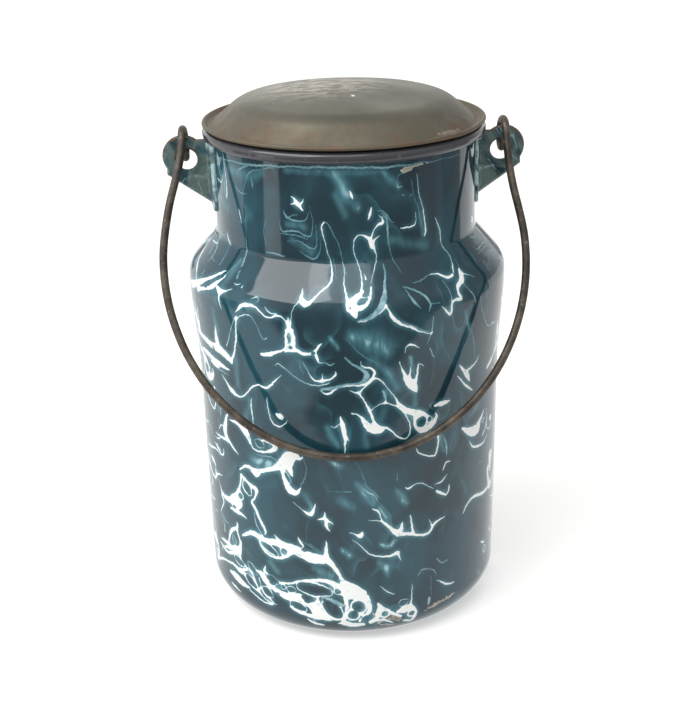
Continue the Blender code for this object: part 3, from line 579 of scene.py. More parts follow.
# Pale teal lines beside the white
VEINS = {
    # The first runs along the top of the neck, just under the bead, lighter than the neck
    "neck top": [(214, 155, 1.4), (228, 160, 1.8), (245, 164, 2), (280, 166.3, 2.4), (330, 167.5, 3),
        (365, 167.8, 2.8), (390, 167, 2.6), (410, 164.5, 2), (430, 161.5, 1.4), (460, 154, 1)],
    "neck hook": [(236, 178, 1), (238, 170.5, 1.8), (244, 166.5, 2.2), (256, 165, 2), (272, 166, 1)],
    "neck hook inner": [(243, 198, 1), (244.5, 184, 1.5), (249, 174, 1.8), (258, 169.5, 1.5),
        (275, 168, 1)],
    "neck tick": [(251, 177, 1.2), (252, 184, 2.2), (253, 189, 1)],
    "neck edge": [(217, 162, 2), (221, 178, 3), (222, 195, 2), (219, 210, 1)],
    "neck bridge": [(236, 187, 1.4), (240, 192, 1.8), (247, 194, 1)],
    "left vein": [(245.5, 205, 1.2), (246, 222, 1.3), (246, 240, 1.2), (245, 256, 1.3), (240, 269, 1.3),
        (236, 279, 1)],
    "star cup": [(283, 210, 1.3), (287, 217, 2.3), (296, 221, 2.1), (305, 219.5, 1.6), (308.5, 212, 1)],
    "star cup inner": [(289, 216.5, 1), (294, 215.5, 1.3), (299, 215, 0.8)],
    "flow one": [(279, 221, 1), (282, 230, 1.8), (290, 231, 2.2), (300, 232.5, 2), (308, 236, 2),
        (312, 233, 1.5), (313, 222, 1), (309, 206, 0.8)],
    "flow two": [(279, 233, 1), (288, 234, 1.6), (299, 236, 1.6), (307, 239, 1.4)],
    "flow three": [(287, 241, 1), (299, 241.5, 1.5), (307, 246, 2), (315, 248, 1.8), (317, 239, 1.3),
        (316, 225, 0.9)],
    "flow four": [(300, 251, 1), (309, 257, 1.8), (316, 258.5, 2), (320, 251, 1.3), (320, 240, 0.9)],
    "bar": [(266, 220, 0.9), (263.8, 232, 1.3), (266, 245, 1.2)],
    "bar foot": [(266, 252, 1.6), (275, 254, 2.2), (285, 256, 1.6)],
    "loop side": [(324, 221.5, 1.6), (329, 225, 1.5), (335, 237, 1.4), (341, 252, 1.3), (343.5, 264, 1.2),
        (347, 276, 0.9)],
    "loop twin": [(333, 258, 0.9), (335, 268, 1.1), (336, 279, 0.9)],
    "neck fleck": [(356.5, 210.5, 1), (358.5, 208, 2), (360, 205.5, 1)],
    "neck pool": [(396, 181, 0.9), (398, 187, 2.6), (402, 186.5, 1.4)],
    "neck pool thread": [(397, 181, 1), (399, 175, 1.2), (408, 172, 0.9)],
    "neck dots": [(402.5, 195, 1.6), (404.5, 195, 1.6)],
    "neck dot": [(410.5, 194.5, 1.6), (411.5, 194.5, 1.6)],
    "neck bow": [(377, 211, 1), (382, 211, 1.7), (387, 215, 1.9), (391, 221.5, 1.6), (395, 222, 0.9)],
    "neck haze": [(381, 213, 1.2), (386, 217.5, 2.4), (387.8, 228, 2.8), (388, 240, 2.2), (390, 250, 1.5),
        (394, 262, 1.3), (401, 273, 1)],
    "drip twin": [(411, 178, 0.9), (414, 195, 1.2), (418, 209, 1.5), (421, 221, 1.7), (424, 231, 1.4)],
    "right lead": [(455, 259, 1), (459, 267, 1.4), (461, 272, 1.4)],
    "web band": [(382.5, 264, 2), (385, 275, 2.6), (384.5, 290, 4), (383, 303, 6.4), (377, 313, 6.4),
        (367, 319, 4), (358, 321, 2)],
    "web haze": [(402, 321, 1), (410, 325, 2), (421, 329, 1.6), (430, 331, 1)],
    "eye arc": [(403, 287, 1.2), (411, 289, 2.2), (420, 293, 2.6), (427, 297.5, 2.8), (431, 304, 2.8),
        (429, 311, 1.4)],
    "eye arc arm": [(432, 303.5, 1.4), (440, 303, 1.6)],
    "eye haze": [(405, 289, 1.2), (411, 298, 2.6), (417, 304, 2.8), (421, 309, 1)],
    "bar lead": [(412, 283, 1), (421, 280, 1.5), (428, 275.5, 1.5)],
    "chain tail": [(464, 285, 1), (470, 290, 1.4), (474, 297, 1.6), (475.5, 301, 2)],
    "right haze": [(465.5, 311, 1), (467.5, 322, 2.6), (470, 334, 1.4)],
    "right haze low": [(471, 328, 1.2), (474, 343, 2), (474.5, 357, 1.2)],
    "patch band": [(345, 358, 1.6), (352, 364, 2.4), (360, 368, 3.4), (366, 373, 5.4), (365, 379, 5.4),
        (358, 384, 3.6), (346, 385.5, 3.4), (333, 388, 4.4), (322, 390, 3)],
    "cloud edge": [(347, 340, 0.9), (356, 350, 1.3), (367, 358, 1.5), (380, 365, 1.2), (391, 373, 0.9)],
    "spike": [(383.5, 391, 3), (385, 397, 3.4), (386, 402, 1.6)],
    "ear thread": [(433, 411, 0.9), (430, 405, 1.3), (435, 402.5, 1.3)],
    "cup haze": [(442, 434, 1.2), (446, 443, 3), (446.5, 450, 2.8), (446, 457, 1.2)],
    "tick": [(331, 425, 0.9), (335, 427.5, 2.2), (339, 424.5, 1)],
    "veil core": [(360, 485.5, 1.2), (367, 491, 3.6), (374, 496, 3), (379, 503, 1)],
    "veil ray": [(364, 484, 0.8), (372, 490, 1.6), (380, 499, 1)],
    "veil ray right": [(397, 489, 0.8), (402, 496, 2), (406, 503, 1)],
    "veil thread": [(356, 461, 0.9), (362, 474, 1.2), (368, 488, 1.2)],
    "still line": [(327, 491, 0.9), (340, 491.5, 1.1), (351, 492.3, 2)],
    "still tick": [(397, 473, 1), (397.5, 480, 1.5)],
    "triangle arm": [(434, 485, 1), (441, 482, 1.6), (447, 474, 1.2)],
    "right tick": [(478, 464, 1.2), (480.5, 461, 2)],
    "low arch": [(418, 577, 0.9), (420, 571.5, 1.3), (427, 568.5, 1.5), (434, 570.5, 1.3),
        (436, 576, 0.9)],
    "low arch side": [(430.5, 576, 0.9), (431, 586, 1.2), (431.5, 595, 0.9)],
    "low tick": [(427.5, 606, 1), (429, 600, 3), (430.5, 597, 1.4)],
    "sash haze": [(303, 541, 0.9), (311, 547, 1.4), (320, 553, 1.2)],
    "sash haze twin": [(309, 543, 0.9), (316, 548, 1.2), (324, 554, 1)],
    "under bail": [(252, 452, 1), (262, 455.5, 2.4), (272, 457.5, 2.4), (279, 462, 2)],
    "big patch side": [(304, 459, 1), (306, 468, 1.3), (304, 480, 1.6), (300, 488, 1.2)],
    "arm inside": [(301, 356, 1), (300, 365, 1.4), (303, 374, 1.2)],
    "foam haze": [(321, 596.5, 2), (331, 600, 4.5), (340, 603.5, 5), (347, 607, 2)],
    "left glint": [(205, 488, 1), (210, 492, 2), (214, 498, 2)],
}
# Soft teal clouds in the dark: a strength and a stroke
CLOUDS = {
    "neck edge": (0.5, [(219, 165, 10), (224, 190, 8)]),
    "neck corner": (0.45, [(228, 168, 10), (250, 176, 12), (262, 172, 8)]),
    "neck middle": (0.6, [(330, 172, 10), (339, 180, 13), (346, 195, 14), (356, 206, 12)]),
    "neck rim": (0.45, [(285, 170, 5), (320, 172, 6), (360, 172, 6), (385, 171, 5)]),
    "neck middle low": (0.35, [(335, 195, 8), (345, 215, 10)]),
    "neck right": (0.5, [(384, 172, 8), (391, 180, 9), (398, 186, 7)]),
    "neck cup": (0.45, [(288, 224, 7), (305, 227, 8)]),
    "neck steps": (0.35, [(292, 240, 8), (312, 252, 10)]),
    "neck foot": (0.3, [(390, 240, 10), (425, 245, 12)]),
    "drip": (0.5, [(420, 215, 5), (423, 235, 6)]),
    "patch": (0.65, [(352, 337, 12), (366, 341, 20), (380, 345, 22), (387, 352, 14)]),
    "patch tail": (0.5, [(372, 360, 10), (390, 375, 10), (398, 388, 8)]),
    "fleck": (0.9, [(331, 338, 4), (335, 344, 5), (338, 349, 3)]),
    "drop": (0.9, [(411, 358, 4), (411, 372, 6)]),
    "drop low": (0.8, [(415, 393, 5), (415, 405, 6)]),
    "spike": (0.7, [(387, 392, 8), (395, 399, 5)]),
    "disc": (0.35, [(385, 410, 6), (380, 420, 8)]),
    "left": (0.55, [(213, 310, 6), (217, 330, 8)]),
    "left low": (0.4, [(236, 360, 8), (238, 385, 8)]),
    "shoulder left": (0.4, [(240, 262, 10), (215, 300, 12)]),
    "shoulder thread": (0.5, [(250, 400, 4), (246, 418, 8)]),
    "arm": (0.7, [(254, 460, 12), (268, 463, 12), (275, 467, 6)]),
    "arm top": (0.7, [(284, 455, 5), (287, 450, 5)]),
    "bail": (0.5, [(327, 428, 8), (333, 438, 8), (338, 446, 5)]),
    "bail right": (0.6, [(365, 430, 4), (366, 446, 6)]),
    "under bail": (0.75, [(330, 461, 6), (341, 466, 9)]),
    "veil": (1.0, [(357, 484, 5), (363, 490, 9), (369, 497, 10), (374, 504, 6)]),
    "veil right": (0.95, [(397, 491, 5), (402, 498, 8), (406, 503, 7)]),
    "veil low": (0.6, [(380, 508, 5), (386, 518, 7)]),
    "veil edge": (0.5, [(340, 500, 10), (352, 508, 8)]),
    "drop left": (0.5, [(305, 495, 8), (313, 508, 5)]),
    "sash": (0.6, [(314, 568, 8), (324, 573, 10), (333, 576, 8)]),
    "sash left": (0.4, [(270, 562, 8), (278, 572, 8)]),
    "low one": (0.8, [(343, 550, 6), (350, 556, 7)]),
    "low two": (0.85, [(380, 563, 6), (386, 568, 8), (388, 575, 4)]),
    "star": (0.9, [(381, 545, 5), (389, 546, 6), (396, 539, 4)]),
    "right": (0.5, [(466, 312, 6), (469, 330, 7)]),
    "right patch": (0.5, [(470, 415, 10), (478, 405, 8)]),
    "cup": (0.5, [(440, 435, 6), (444, 450, 6)]),
}
# Chipped places where the iron shows
CHIPS = {
    "rim": [(401, 171.5, 2.4), (406, 169.5, 4), (412, 168.5, 2.6)],
    "rim right": [(410, 165.5, 1.4), (420, 164, 2.6), (431, 161, 1.2)],
    "foot": [(424, 611, 1.4), (432, 606.5, 3), (441, 601, 4.4), (450, 596, 3), (458, 591.5, 1.2)],
    "foot middle": [(381, 621, 3), (390, 617, 6), (400, 619, 4)],
    "foot side": [(372, 612, 1.4), (376, 618, 3), (378, 622, 2)],
    "foot left": [(378, 624, 2), (386, 624.5, 3), (396, 624, 2)],
}


# Shapes

def arc(centre, radius, start, end, step=4):
    """Points (r, z) on a circle, from the start angle to the end angle, about step degrees apart."""
    count = max(3, int(abs(math.degrees(end - start)) / step) + 1)
    turn = np.linspace(start, end, count)
    return np.stack([centre[0] + radius * np.cos(turn), centre[1] + radius * np.sin(turn)], -1)


def rounded(before, corner, after, radius):
    """The arc that touches both legs of a corner: its centre lies on the corner's bisector, at the
    radius over the sine of half the angle between the legs."""
    before, corner, after = (np.array(p, float) for p in (before, corner, after))
    one = (before - corner) / np.linalg.norm(before - corner)
    two = (after - corner) / np.linalg.norm(after - corner)
    half = math.acos(float(np.clip(one @ two, -1, 1))) / 2
    longest = min(np.linalg.norm(before - corner), np.linalg.norm(after - corner)) / 2
    reach = min(radius / math.tan(half), longest)
    radius = reach * math.tan(half)
    middle = (one + two) / np.linalg.norm(one + two)
    centre = corner + middle * radius / math.sin(half)
    ends = [corner + one * reach - centre, corner + two * reach - centre]
    start, end = (math.atan2(p[1], p[0]) for p in ends)
    end += FULL * round((start - end) / FULL)
    return arc(centre, radius, start, end)


def smooth_rise(share):
    """Rises from 0 to 1 with no slope at either end: three squares less two cubes."""
    share = np.clip(share, 0, 1)
    return share * share * (3 - 2 * share)


def round_off(share):
    """A quarter circle: the height of a round edge at a share of its reach."""
    return np.sqrt(np.maximum(0, 1 - (1 - np.clip(share, 0, 1)) ** 2))


def line(start, end, count):
    """Evenly spaced points from start to end, without the end."""
    return np.linspace(start, end, count, endpoint=False)


def inset(path, depth):
    """The path moved by depth towards the left of its own direction."""
    along = np.gradient(path, axis=0)
    along /= np.linalg.norm(along, axis=1, keepdims=True)
    return path + depth * np.stack([-along[:, 1], along[:, 0]], -1)


def eased(points, steps=8):
    """A smooth line through points: each stretch is the cubic that leaves and meets its ends along the
    line between their neighbours."""
    wide = np.concatenate([2 * points[:1] - points[1:2], points, 2 * points[-1:] - points[-2:-1]])
    t = np.linspace(0, 1, steps, endpoint=False)[:, None, None]
    a, b, c, d = wide[:-3], wide[1:-2], wide[2:-1], wide[3:]
    curve = 0.5 * (2 * b + (c - a) * t + (2 * a - 5 * b + 4 * c - d) * t ** 2
                   + (3 * b - a - 3 * c + d) * t ** 3)
    return np.concatenate([curve.transpose(1, 0, 2).reshape(-1, points.shape[1]), points[-1:]])


def new_piece(name, points, faces, body, slot, material, marks=None):
    """Makes a mesh object from points and faces, with named numbers on its points. Its faces are turned
    outwards: the volume they enclose, a sum of triple products, must be positive."""
    mesh = bpy.data.meshes.new(name)
    points = points.reshape(-1, 3)
    mesh.from_pydata(points.tolist(), [], faces)
    mesh.calc_loop_triangles()
    triangles = np.empty(3 * len(mesh.loop_triangles), int)
    mesh.loop_triangles.foreach_get("vertices", triangles)
    one, two, three = points[triangles.reshape(-1, 3)].transpose(1, 0, 2)
    if (one * np.cross(two, three)).sum() < 0:
        mesh.flip_normals()
    for mark, values in (marks or {}).items():
        layer = mesh.attributes.new(mark, "FLOAT", "POINT")
        layer.data.foreach_set("value", np.ascontiguousarray(values, np.float32).ravel())
    mesh.shade_smooth()
    mesh.materials.append(material)
    piece = bpy.data.objects.new(name, mesh)
    bpy.context.scene.collection.objects.link(piece)
    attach(piece, body)
    return piece


def grid_faces(rows, columns, close_rows=False, close_columns=False):
    """Quads between neighbours on a grid of points, whose last row or column may join its first."""
    index = np.arange(rows * columns).reshape(rows, columns)
    if close_rows:
        index = np.vstack([index, index[:1]])
    if close_columns:
        index = np.hstack([index, index[:, :1]])
    corners = [index[:-1, :-1], index[:-1, 1:], index[1:, 1:], index[1:, :-1]]
    return np.stack(corners, -1).reshape(-1, 4).tolist()


def tube_faces(rows, columns):
    """Quads round a tube of points, and triangles from its first and last rings to the two points that
    follow and close its ends."""
    count = rows * columns
    start = np.arange(columns)
    after = np.roll(start, -1)
    last = count - columns
    first_fan = np.stack([np.full(columns, count), after, start], -1)
    last_fan = np.stack([np.full(columns, count + 1), start + last, after + last], -1)
    return grid_faces(rows, columns, close_columns=True) + first_fan.tolist() + last_fan.tolist()


def swept(profile, turn):
    """A profile (r, z) turned about Z: x is r times the cosine of the turn and y is r times its sine."""
    return np.stack([profile[:, :1] * np.cos(turn), profile[:, :1] * np.sin(turn),
                     np.repeat(profile[:, 1:], len(turn), 1)], -1)


def turned(profile, turn):
    """A profile (r, z) that starts and ends on the axis, turned about Z and closed there."""
    points = swept(profile[1:-1], turn)
    faces = [face[::-1] for face in tube_faces(*points.shape[:2])]
    poles = np.array([(0, 0, profile[0, 1]), (0, 0, profile[-1, 1])])
    return np.concatenate([points.reshape(-1, 3), poles]), faces


# The can

def camera_axes():
    """The camera's right, up and forward directions: level and straight ahead at first, then pitched,
    turned about Z and rolled about the forward direction."""
    forward = np.array([math.cos(CAMERA_PITCH) * math.sin(CAMERA_YAW),
                        math.cos(CAMERA_PITCH) * math.cos(CAMERA_YAW), -math.sin(CAMERA_PITCH)])
    right = np.array([math.cos(CAMERA_YAW), -math.sin(CAMERA_YAW), 0])
    up = np.cross(right, forward)
    cos, sin = math.cos(CAMERA_ROLL), math.sin(CAMERA_ROLL)
    return right * cos + up * sin, up * cos - right * sin, forward


def can_outline():
    """The can's outer face, as points (r, z) from the axis up the wall and the shoulder to the top of the
    neck."""
    flare_top = SHOULDER_HEIGHT - SHOULDER_ROUND * math.tan((QUARTER - SHOULDER_SLOPE) / 2)
    foot = (BODY_RADIUS - BASE_DRAFT, 0)
    wall_top = (BODY_RADIUS, flare_top - FLARE_LENGTH)
    corner = rounded((0, 0), foot, wall_top, BASE_CORNER)
    share = np.linspace(0, 1, 40)
    flare = np.stack([BODY_RADIUS + BULGE * smooth_rise(share), wall_top[1] + FLARE_LENGTH * share], -1)
    crease = (NECK_RADIUS, CREASE_HEIGHT)
    band = (WIDEST_RADIUS, SHOULDER_HEIGHT)
    shoulder = rounded((WIDEST_RADIUS, flare_top - FLARE_LENGTH), band, crease, SHOULDER_ROUND)
    neck_foot = rounded(band, crease, (NECK_RADIUS, RIM_HEIGHT), CREASE_ROUND)
    path = np.concatenate([line((0, 0), corner[0], BASE_STEPS), corner, line(corner[-1], wall_top, 90)[1:],
                           flare, shoulder[1:], line(shoulder[-1], neck_foot[0], 12)[1:], neck_foot,
                           line(neck_foot[-1], (NECK_RADIUS, RIM_HEIGHT), 38)[1:]])
    path[:, 0] = np.maximum(path[:, 0] - FACE_TRIM, 0)
    low = (path[:, 0] > 0) & (path[:, 1] < BASE_CORNER / 4)
    path[low, 1] += FACE_TRIM
    return path


class CanFace:
    """The can's outer face unrolled: across is the turn about Z times a fixed radius, and up is the
    length along the outline."""

    def __init__(self, outline):
        self.outline = outline
        self.length = np.append(0, np.cumsum(np.hypot(*np.diff(outline, axis=0).T)))
        along = np.gradient(outline, axis=0)
        along /= np.linalg.norm(along, axis=1, keepdims=True)
        self.out = np.stack([along[:, 1], -along[:, 0]], -1)

    def place(self, turn, up, lift):
        """Points at a turn and a length along the outline, lifted off the face along its normal."""
        r, z, out_r, out_z = (np.interp(up, self.length, column) for column in
                              (*self.outline.T, *self.out.T))
        r = r + out_r * lift
        return np.stack([r * np.cos(turn), r * np.sin(turn), z + out_z * lift], -1)

    def seen_at(self, pixels):
        """Where the photograph's pixels lie on the can, as turns about Z and lengths along the outline.
        Each pixel is a ray from the camera, and the place is the first one on it that is inside the
        outline, or else the nearest to it."""
        right, up, forward = camera_axes()
        across = (pixels[:, 0] - PHOTO_WIDTH / 2) / FOCAL_PIXELS
        rise = (PHOTO_HEIGHT / 2 - pixels[:, 1]) / FOCAL_PIXELS
        rays = forward + across[:, None] * right + rise[:, None] * up
        reach = np.linspace(*RAY_REACH, RAY_STEPS)
        places = np.array(CAMERA_PLACE) + reach[None, :, None] * rays[:, None, :]
        height = places[..., 2]
        side = self.outline[BASE_STEPS + 1:]
        over_base = height > side[0, 1]
        gap = np.hypot(places[..., 0], places[..., 1]) - np.interp(height, side[:, 1], side[:, 0])
        inside = (gap < 0) & over_base
        hit = np.where(inside.any(1), inside.argmax(1), np.where(over_base, gap, 1).argmin(1))
        place = places[np.arange(len(hit)), hit]
        turn = np.arctan2(place[:, 1], place[:, 0])
        return turn, np.interp(place[:, 2], side[:, 1], self.length[BASE_STEPS + 1:])


def stroke_depth(across, up, path, share_of_width=False):
    """How deep places lie inside a stroke: half its width there less the distance to its line, which is
    the least one to any of its straight stretches. It may be given as a share of the half width."""
    start, end = path[:-1], path[1:]
    along = end[:, :2] - start[:, :2]
    squared = np.maximum((along ** 2).sum(-1), TINY)
    from_across = across[..., None] - start[:, 0]
    from_up = up[..., None] - start[:, 1]
    share = np.clip((from_across * along[:, 0] + from_up * along[:, 1]) / squared, 0, 1)
    distance = np.hypot(from_across - share * along[:, 0], from_up - share * along[:, 1])
    half = (start[:, 2] + share * (end[:, 2] - start[:, 2])) / 2
    return (1 - distance / half if share_of_width else half - distance).max(-1)


def joined(one, two, blend):
    """The greater of two depths, rounded where they are nearly the same."""
    share = np.clip(0.5 + 0.5 * (two - one) / blend, 0, 1)
    return one + (two - one) * share + blend * share * (1 - share)


def wobble(along, cross, sizes, phase):
    """Small waves that keep an edge from looking drawn: three sines, the first and the last of them
    bent by another one."""
    middle, middle_bend, bend, slow, fine, fine_bend = sizes
    waves = np.sin(along / middle + phase + bend * np.sin(cross / middle_bend))
    waves = waves + 1.4 * np.sin(cross / slow - phase)
    return waves + 0.8 * np.sin(cross / fine + 2.0 * np.sin(along / fine_bend + phase))


def blurred(picture, reach):
    """A picture with every point spread as a bell curve: its waves are weakened by the square of their
    number and of the reach."""
    waves = np.fft.rfft2(picture)
    rows = np.fft.fftfreq(picture.shape[0])[:, None]
    columns = np.fft.rfftfreq(picture.shape[1])
    fade = np.exp(-2 * (HALF * reach / GRID_STEP) ** 2 * (rows ** 2 + columns ** 2))
    return np.fft.irfft2(waves * fade, picture.shape)


class Drawing:
    """What is drawn on one side of the can, on a fine grid over its unrolled face: depth is how deep a
    point lies in the white or in a vein, white is 1 in the white and 0 in a vein, and glow and bare are
    how milky and how chipped the can is there."""

    def __init__(self, face, front, span, shift, wave, phase):
        self.face, self.front, self.shift, self.wave = face, front, shift, wave
        self.reach = span * UNROLL_RADIUS
        self.columns = np.arange(-self.reach, self.reach, GRID_STEP)
        self.rows = np.arange(SHEET_FOOT, face.length[-1] - RIM_SPARE, GRID_STEP)
        self.across, self.up = np.meshgrid(self.columns, self.rows)
        across = self.across + WOBBLE * wobble(self.across, self.up, WOBBLE_ACROSS, phase)
        up = self.up + WOBBLE * wobble(self.up, self.across, WOBBLE_UP, -phase)
        self.bent_up = up + wave * np.sin(self.across / BROAD_WAVES[0] + phase)
        self.bent_across = across + wave * np.sin(self.up / BROAD_WAVES[1] - phase)
        white = self.drawn_white()
        vein = self.drawn(VEINS, BLEND / 2)
        self.depth = np.maximum(white, vein)
        self.white = smooth_rise((white - vein) / VEIN_FADE + 0.5) * (white > NOWHERE / 2)
        self.glow = self.drawn_glow(white)
        self.bare = smooth_rise(self.drawn(CHIPS, BLEND) / CHIP_FADE + 0.5)

    def path(self, points):
        """A stroke on the unrolled face, in metres: (across, up, width)."""
        points = np.array(points, float)
        turn, length = self.face.seen_at(points[:, :2])
        side = (turn + QUARTER + HALF) % FULL - HALF
        path = eased(np.stack([side * UNROLL_RADIUS, length + self.shift, points[:, 2] * STROKE_UNIT], -1))
        path[:, 2] = np.maximum(path[:, 2] - STROKE_THINNING, THINNEST_STROKE)
        return path

    def oval(self, start, end, width):
        """A short stroke that is widest near its middle."""
        share = CELL_MIDDLE_SHARE
        middle = ((1 - share) * start[0] + share * end[0], (1 - share) * start[1] + share * end[1])
        return self.path([(*place, width * width_share)
                          for place, width_share in zip((start, middle, end), CELL_WIDTH_SHARES)])

    def window(self, path):
        """The rows and columns of the grid round a stroke: none, if it comes too close to its sides."""
        spare = 2 * path[:, 2].max() + WINDOW_SPARE + 3 * self.wave
        low, high = path[:, :2].min(0) - spare, path[:, :2].max(0) + spare
        if np.abs(path[:, 0]).max() > self.reach - SHEET_EDGE:
            high = low
        return (slice(*np.searchsorted(self.rows, (low[1], high[1]))),
                slice(*np.searchsorted(self.columns, (low[0], high[0]))))

    def stroke(self, path, share_of_width=False):
        """A stroke's part of the grid, and how deep that part lies in it."""
        part = self.window(path)
        return part, stroke_depth(self.bent_across[part], self.bent_up[part], path, share_of_width)

    def drawn(self, strokes, blend):
        """How deep each point lies in a set of strokes, which join with a rounded web where they meet."""
        depth = np.full(self.across.shape, NOWHERE)
        for points in strokes.values():
            part, stroke = self.stroke(self.path(points))
            depth[part] = joined(depth[part], stroke, blend)
        return depth

    def drawn_white(self):
        """The strokes, with the walls of the cells joined to them and the cells cut out."""
        white = self.drawn(STROKES, BLEND)
        for start, end, width, wall in CELLS.values():
            if wall:
                part, bubble = self.stroke(self.oval(start, end, width + 2 * wall))
                white[part] = joined(white[part], bubble, BLEND)
        for start, end, width, _ in CELLS.values():
            part, cell = self.stroke(self.oval(start, end, width))
            white[part] = -joined(-white[part], cell, CELL_BLEND)
        return white

    def drawn_glow(self, white):
        """The blurred white, and each cloud laid over it: a bell curve of the distance to its stroke."""
        glow = np.clip(GLOW_GAIN * blurred((white > 0) * 1.0, GLOW_REACH) - GLOW_LOSS, 0, GLOW_MOST)
        for strength, points in CLOUDS.values():
            part, share = self.stroke(self.path(points), True)
            glow[part] += (1 - glow[part]) * CLOUD_GAIN * strength * np.exp(-CLOUD_FALL * (1 - share) ** 2)
        return np.minimum(glow, 1)

    def sampled(self, values, turn, length):
        """The grid's values at places on the can, between its four nearest points; nought off the grid."""
        side = (turn - self.front + HALF) % FULL - HALF
        column = (side * UNROLL_RADIUS - self.columns[0]) / GRID_STEP
        row = (length - self.rows[0]) / GRID_STEP
        on = (column > 0) & (column < len(self.columns) - 2) & (row > 0) & (row < len(self.rows) - 2)
        column, row = np.where(on, column, 0), np.where(on, row, 0)
        j, i = column.astype(int), row.astype(int)
        right, down = column - j, row - i
        top = values[i, j] * (1 - right) + values[i, j + 1] * right
        bottom = values[i + 1, j] * (1 - right) + values[i + 1, j + 1] * right
        return np.where(on, top * (1 - down) + bottom * down, 0)


def make_can(face, drawings, material):
    """The can as one sheet: the outer face from the axis up to the rim, round the rolled rim and down
    the inner face to the axis again. Its columns are closer together on the front."""
    outer = face.outline
    turns = np.concatenate([line(-QUARTER - FRONT_HALF, -QUARTER + FRONT_HALF, FRONT_STEPS),
                            line(-QUARTER + FRONT_HALF, 3 * QUARTER - FRONT_HALF, BACK_STEPS)])
    centre = (BEAD_CENTRE, RIM_HEIGHT)
    roll_end = HALF - ROLL_TURN
    middle = ROLL_BORE + WALL / 2
    curl_in = arc(centre, ROLL_BORE, HALF, roll_end, 13)
    curl_end = arc((BEAD_CENTRE + middle * math.cos(roll_end), RIM_HEIGHT + middle * math.sin(roll_end)),
                   WALL / 2, -ROLL_TURN, -ROLL_TURN - HALF, 30)[1:-1]
    curl_out = arc(centre, BEAD_RADIUS, roll_end, HALF, 9)[:-1]
    inner = inset(outer, WALL)[::-6]
    inner[-1, 0] = 0
    profile = np.concatenate([outer, curl_in, curl_end, curl_out, inner])
    counts = [len(outer), len(curl_in) + len(curl_end), len(curl_out), len(inner)]
    over_bead = np.linspace(0, 1, counts[2]) > LINING_START_SHARE
    marks = {"trim": np.repeat([0.0, 1.0, 1.0, 0.0], counts),
             "lining": np.concatenate([np.zeros(counts[0] + counts[1]), over_bead, np.ones(counts[3])])}
    for name, mark in marks.items():
        marks[name] = np.append(np.repeat(mark[1:-1], len(turns)), mark[[0, -1]])
    length = np.append(face.length, np.zeros(len(profile) - len(outer)))
    places = np.meshgrid(turns, length[1:-1])
    for name in ("glow", "bare"):
        drawn = sum(drawing.sampled(getattr(drawing, name), *places) for drawing in drawings)
        marks[name] = np.append(np.clip(drawn, 0, 1), (0, 0))
    can = new_piece("enamel_can", *turned(profile, turns), "pail", "enamel", material, marks)
    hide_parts("pail_body")


def make_white(name, drawing, rows, material):
    """The white in some of the grid's rows as a thin sheet on the can: the cells with a corner in the
    white, where each corner outside is moved along the slope of the depth to where the depth is
    nought. A cell between two that touch at a corner is filled too."""
    face, depth = drawing.face, drawing.depth
    inside = depth > 0
    cells = inside[:-1, :-1] | inside[:-1, 1:] | inside[1:, 1:] | inside[1:, :-1]
    here, right, below, across_from = cells[:-1, :-1], cells[:-1, 1:], cells[1:, :-1], cells[1:, 1:]
    falling = here & across_from & ~right & ~below
    rising = right & below & ~here & ~across_from
    cells[:-1, 1:] |= falling
    cells[:-1, :-1] |= rising
    cells[:rows[0]] = False
    cells[rows[1]:] = False
    slope_up, slope_across = np.gradient(depth, GRID_STEP)
    steep = np.maximum(slope_up ** 2 + slope_across ** 2, LEAST_SLOPE_SQUARED)
    move = np.where(inside, 0, -depth / steep)
    step = np.minimum(1, GRID_STEP / np.maximum(np.abs(move) * np.sqrt(steep), TINY))
    across = drawing.across + move * slope_across * step
    up = drawing.up + move * slope_up * step
    used = np.zeros(depth.shape, bool)
    for down, right in ((0, 0), (0, 1), (1, 1), (1, 0)):
        used[down:cells.shape[0] + down, right:cells.shape[1] + right] |= cells
    index = np.cumsum(used).reshape(used.shape) - 1
    count = int(used.sum())
    deep = np.maximum(depth[used], 0)
    turn = across[used] / UNROLL_RADIUS + drawing.front
    lift = WHITE_LIFT + WHITE_CROWN * smooth_rise(deep / WHITE_EDGE)
    points = np.concatenate([face.place(turn, up[used], lift), face.place(turn, up[used], -WHITE_SINK)])
    i, j = np.nonzero(cells)
    top = np.stack([index[i, j], index[i, j + 1], index[i + 1, j + 1], index[i + 1, j]], -1)
    padded = np.pad(cells, 1)
    faces = [top, top[:, ::-1] + count]
    for side, (down, right) in enumerate(((0, 1), (1, 2), (2, 1), (1, 0))):
        open_side = ~padded[i + down, j + right]
        start, end = top[open_side, side], top[open_side, (side + 1) % 4]
        faces.append(np.stack([end, start, start + count, end + count], -1))
    marks = {"depth": np.tile(deep / MM, 2), "white": np.tile(drawing.white[used], 2)}
    sheet = new_piece(name, points, np.concatenate(faces).tolist(), "pail", "enamel", material, marks)
    sheet.data.set_sharp_from_angle(angle=SHARP_ANGLE)


# Ears

def ear_outline():
    """The ear's edge as points (x, z): from the neck along its top, round the eye, out to the fold's
    tip and back along the fold to the neck."""
    top = (NECK_RADIUS - EAR_ROOT_SINK, EAR_TOP)
    foot = (top[0], FOLD_FOOT - FOLD_FOOT_SPARE)
    eye_top = HALF - math.asin((EAR_TOP - EYE_HEIGHT) / EYE_RADIUS)
    eye = arc((EYE_REACH, EYE_HEIGHT), EYE_RADIUS - EYE_TRIM, eye_top, FOLD_START, 3)
    tip = rounded(eye[-1], (TIP_REACH, TIP_HEIGHT), foot, TIP_ROUND)
    return np.concatenate([line(top, eye[0], 8), eye[:-1], line(eye[-1], tip[0], 5), tip,
                           line(tip[-1], foot, 40)[1:], line(foot, top, 40)])


